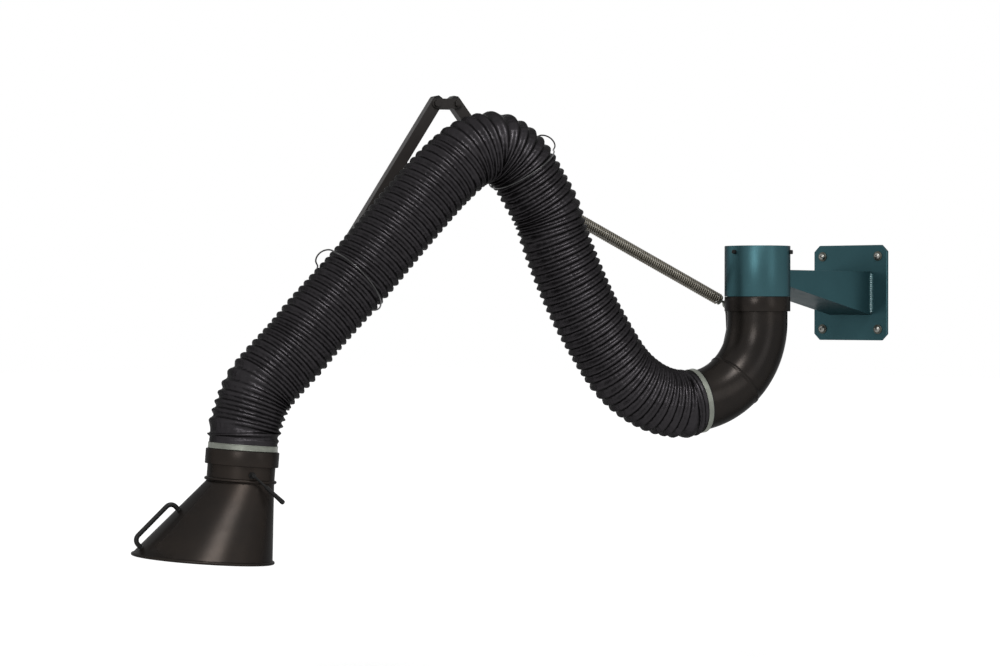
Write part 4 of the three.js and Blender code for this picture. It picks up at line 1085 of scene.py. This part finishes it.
class FUMEARM_OT_damper(bpy.types.Operator):
    """Make the damper's lever and grip and finish its blade"""
    bl_idname = "fume_arm.damper"
    bl_label = "Damper"

    def execute(self, context):
        angle = math.radians(37.0)
        axle_z, lever_y = -42.0, 95.0
        way = Vector((-math.cos(angle), 0.0, -math.sin(angle)))
        axle_r, lever_r, axle_back, nut_y = 4.0, 3.0, -89.0, 83.2
        origin = Vector((0.0, lever_y, axle_z))
        bm = bmesh.new()
        axle = [HOOD_MATRIX @ (Vector((0.0, y, axle_z)) * MM) for y in (axle_back, 0.0, lever_y + 3.0)]
        rod_into(bm, axle, axle_r * MM, 20)
        lever = [HOOD_MATRIX @ ((origin + way * t) * MM) for t in (-7.0, 30.0, 73.0)]
        rod_into(bm, lever, lever_r * MM, 16)
        close_ends(bm)
        across = Matrix.Rotation(-math.pi / 2, 4, "X")
        hub = HOOD_MATRIX @ Matrix.Translation(origin * MM) @ across
        boss = [(0.0, -4.5), (4.8, -4.5), (5.4, -3.9), (5.4, 3.4), (4.6, 4.4), (0.0, 4.4)]
        lathe_into(bm, boss, hub, 24, closed=False)
        bush = HOOD_MATRIX @ Matrix.Translation(Vector((0.0, nut_y, axle_z)) * MM) @ across
        nut = [(0.0, -0.2), (8.6, -0.2), (8.6, 2.6), (7.8, 3.4), (0.0, 3.4)]
        lathe_into(bm, nut, bush, 6, closed=False)
        bmesh.ops.recalc_face_normals(bm, faces=bm.faces)
        finish_piece("damper_lever_rod", bm, FINISH["moulded"], "damper", ["damper_lever"])
        bm = bmesh.new()
        along = way.to_track_quat("Z", "Y").to_matrix().to_4x4()
        stand = HOOD_MATRIX @ Matrix.Translation(origin * MM) @ along
        grip = [(0.0, 41.6), (4.2, 41.6), (5.2, 42.8), (5.0, 60.0), (5.4, 80.0), (6.0, 98.0), (5.4, 102.0),
                (3.4, 103.7), (0.0, 104.0)]
        lathe_into(bm, grip, stand, 28, closed=False)
        bmesh.ops.recalc_face_normals(bm, faces=bm.faces)
        finish_piece("damper_grip_sleeve", bm, FINISH["moulded"], "damper", ["damper_grip"])
        dress(FINISH["zinc"], "damper_blade")
        return {"FINISHED"}


class FUMEARM_OT_stage(bpy.types.Operator):
    """Set the camera, the floor, the lights and the backdrop"""
    bl_idname = "fume_arm.stage"
    bl_label = "Studio"

    camera_place = (3.872, -6.352, -0.040)
    camera_way = (-0.6293, 0.7771)
    pitch = math.radians(0.567)
    lens = 94.5
    floor_z = -1.15
    floor_tone = 0.55
    glow_reach = (2.0, 7.0)
    glow_level = (0.72, 0.92)
    sky_level = 0.32

    def execute(self, context):
        scene = context.scene
        scene.view_settings.view_transform = "Standard"
        self.camera(scene)
        self.floor(scene)
        self.world(scene)
        self.lights(scene)
        return {"FINISHED"}

    def camera(self, scene):
        lens = bpy.data.cameras.new("camera")
        lens.sensor_width = 36.0
        lens.lens = self.lens
        lens.clip_end = 100.0
        holder = bpy.data.objects.new("camera", lens)
        scene.collection.objects.link(holder)
        flat = math.cos(self.pitch)
        way = Vector((self.camera_way[0] * flat, self.camera_way[1] * flat, -math.sin(self.pitch)))
        holder.location = self.camera_place
        holder.rotation_euler = way.to_track_quat("-Z", "Y").to_euler()
        scene.camera = holder

    def floor(self, scene):
        bm = bmesh.new()
        bmesh.ops.create_grid(bm, x_segments=4, y_segments=4, size=30.0)
        bmesh.ops.translate(bm, verts=bm.verts, vec=(0.0, 0.0, self.floor_z))
        mesh = bpy.data.meshes.new("floor")
        bm.to_mesh(mesh)
        bm.free()
        floor = bpy.data.objects.new("floor", mesh)
        scene.collection.objects.link(floor)
        made, tree, shader = new_material("Pale floor")
        shader.inputs["Base Color"].default_value = (self.floor_tone, self.floor_tone, self.floor_tone, 1.0)
        shader.inputs["Roughness"].default_value = 0.8
        shader.inputs["Specular IOR Level"].default_value = 0.0
        shader.inputs["Emission Color"].default_value = (1.0, 1.0, 1.0, 1.0)
        seen = self.seen_rays(tree)
        place = tree.nodes.new("ShaderNodeNewGeometry").outputs["Position"]
        away = tree.nodes.new("ShaderNodeVectorMath")
        away.operation = "LENGTH"
        tree.links.new(place, away.inputs[0])
        glow = ranged(tree, away.outputs["Value"], *self.glow_reach, *self.glow_level)
        tree.links.new(maths(tree, "MULTIPLY", seen, glow), shader.inputs["Emission Strength"])
        mesh.materials.append(made)

    def seen_rays(self, tree):
        """One for rays from the camera, from gloss and through glass, and nought for lighting rays."""
        path = tree.nodes.new("ShaderNodeLightPath")
        gloss = maths(tree, "MAXIMUM", path.outputs["Is Camera Ray"], path.outputs["Is Glossy Ray"])
        return maths(tree, "MAXIMUM", gloss, path.outputs["Is Transmission Ray"])

    def world(self, scene):
        world = bpy.data.worlds.new("studio")
        scene.world = world
        world.use_nodes = True
        tree = world.node_tree
        sky = tree.nodes["Background"]
        sky.inputs["Color"].default_value = (1.0, 1.0, 1.0, 1.0)
        level = ranged(tree, self.seen_rays(tree), 0.0, 1.0, self.sky_level, 1.0)
        tree.links.new(level, sky.inputs["Strength"])

    def lights(self, scene):
        aim = Vector((-0.45, -1.2, -0.05))
        toward = (Vector(self.camera_place) - aim).normalized()
        right = Vector((self.camera_way[1], -self.camera_way[0], 0.0))
        plan = (
            ("key", toward * 3.4 + right * 1.0 + UP * 3.8, 2.2, 1.2, 190.0),
            ("front", toward * 7.3 + right * -1.6 + UP * 1.8, 2.4, 1.6, 170.0),
            ("fill", toward * 2.2 + right * 3.2 + UP * 0.6, 1.2, 2.0, 14.0),
            ("rim", toward * -1.6 + right * -3.0 + UP * 1.6, 1.2, 2.4, 8.0),
        )
        for name, offset, wide, tall, power in plan:
            lamp = bpy.data.lights.new(name, "AREA")
            lamp.shape = "RECTANGLE"
            lamp.size = wide
            lamp.size_y = tall
            lamp.energy = power
            holder = bpy.data.objects.new(name, lamp)
            scene.collection.objects.link(holder)
            holder.location = aim + offset
            holder.rotation_euler = (-offset).to_track_quat("-Z", "Y").to_euler()


PIECES = (
    FUMEARM_OT_finishes, FUMEARM_OT_bracket, FUMEARM_OT_spigot, FUMEARM_OT_duct, FUMEARM_OT_hose,
    FUMEARM_OT_clamps, FUMEARM_OT_bars, FUMEARM_OT_spring, FUMEARM_OT_hoops, FUMEARM_OT_wrist,
    FUMEARM_OT_hood, FUMEARM_OT_damper, FUMEARM_OT_stage,
)


class FUMEARM_PT_panel(bpy.types.Panel):
    """Lists the pieces of the arm"""
    bl_idname = "FUMEARM_PT_panel"
    bl_label = "Fume extraction arm"
    bl_space_type = "VIEW_3D"
    bl_region_type = "UI"
    bl_category = "Fume arm"

    def draw(self, context):
        for holder in (context.scene.fume_arm_sizes, context.scene.fume_arm_colours):
            for name in holder.__annotations__:
                self.layout.prop(holder, name)
        for piece in PIECES:
            self.layout.operator(piece.bl_idname)


CLASSES = (FUMEARM_PG_sizes, FUMEARM_PG_colours, *PIECES, FUMEARM_PT_panel)


def register():
    for one in CLASSES:
        bpy.utils.register_class(one)
    bpy.types.Scene.fume_arm_sizes = PointerProperty(type=FUMEARM_PG_sizes)
    bpy.types.Scene.fume_arm_colours = PointerProperty(type=FUMEARM_PG_colours)


def unregister():
    del bpy.types.Scene.fume_arm_colours
    del bpy.types.Scene.fume_arm_sizes
    for one in reversed(CLASSES):
        bpy.utils.unregister_class(one)


def main():
    """Makes every piece in order."""
    register()
    for piece in PIECES:
        family, name = piece.bl_idname.split(".")
        getattr(getattr(bpy.ops, family), name)()


if __name__ == "__main__":
    main()
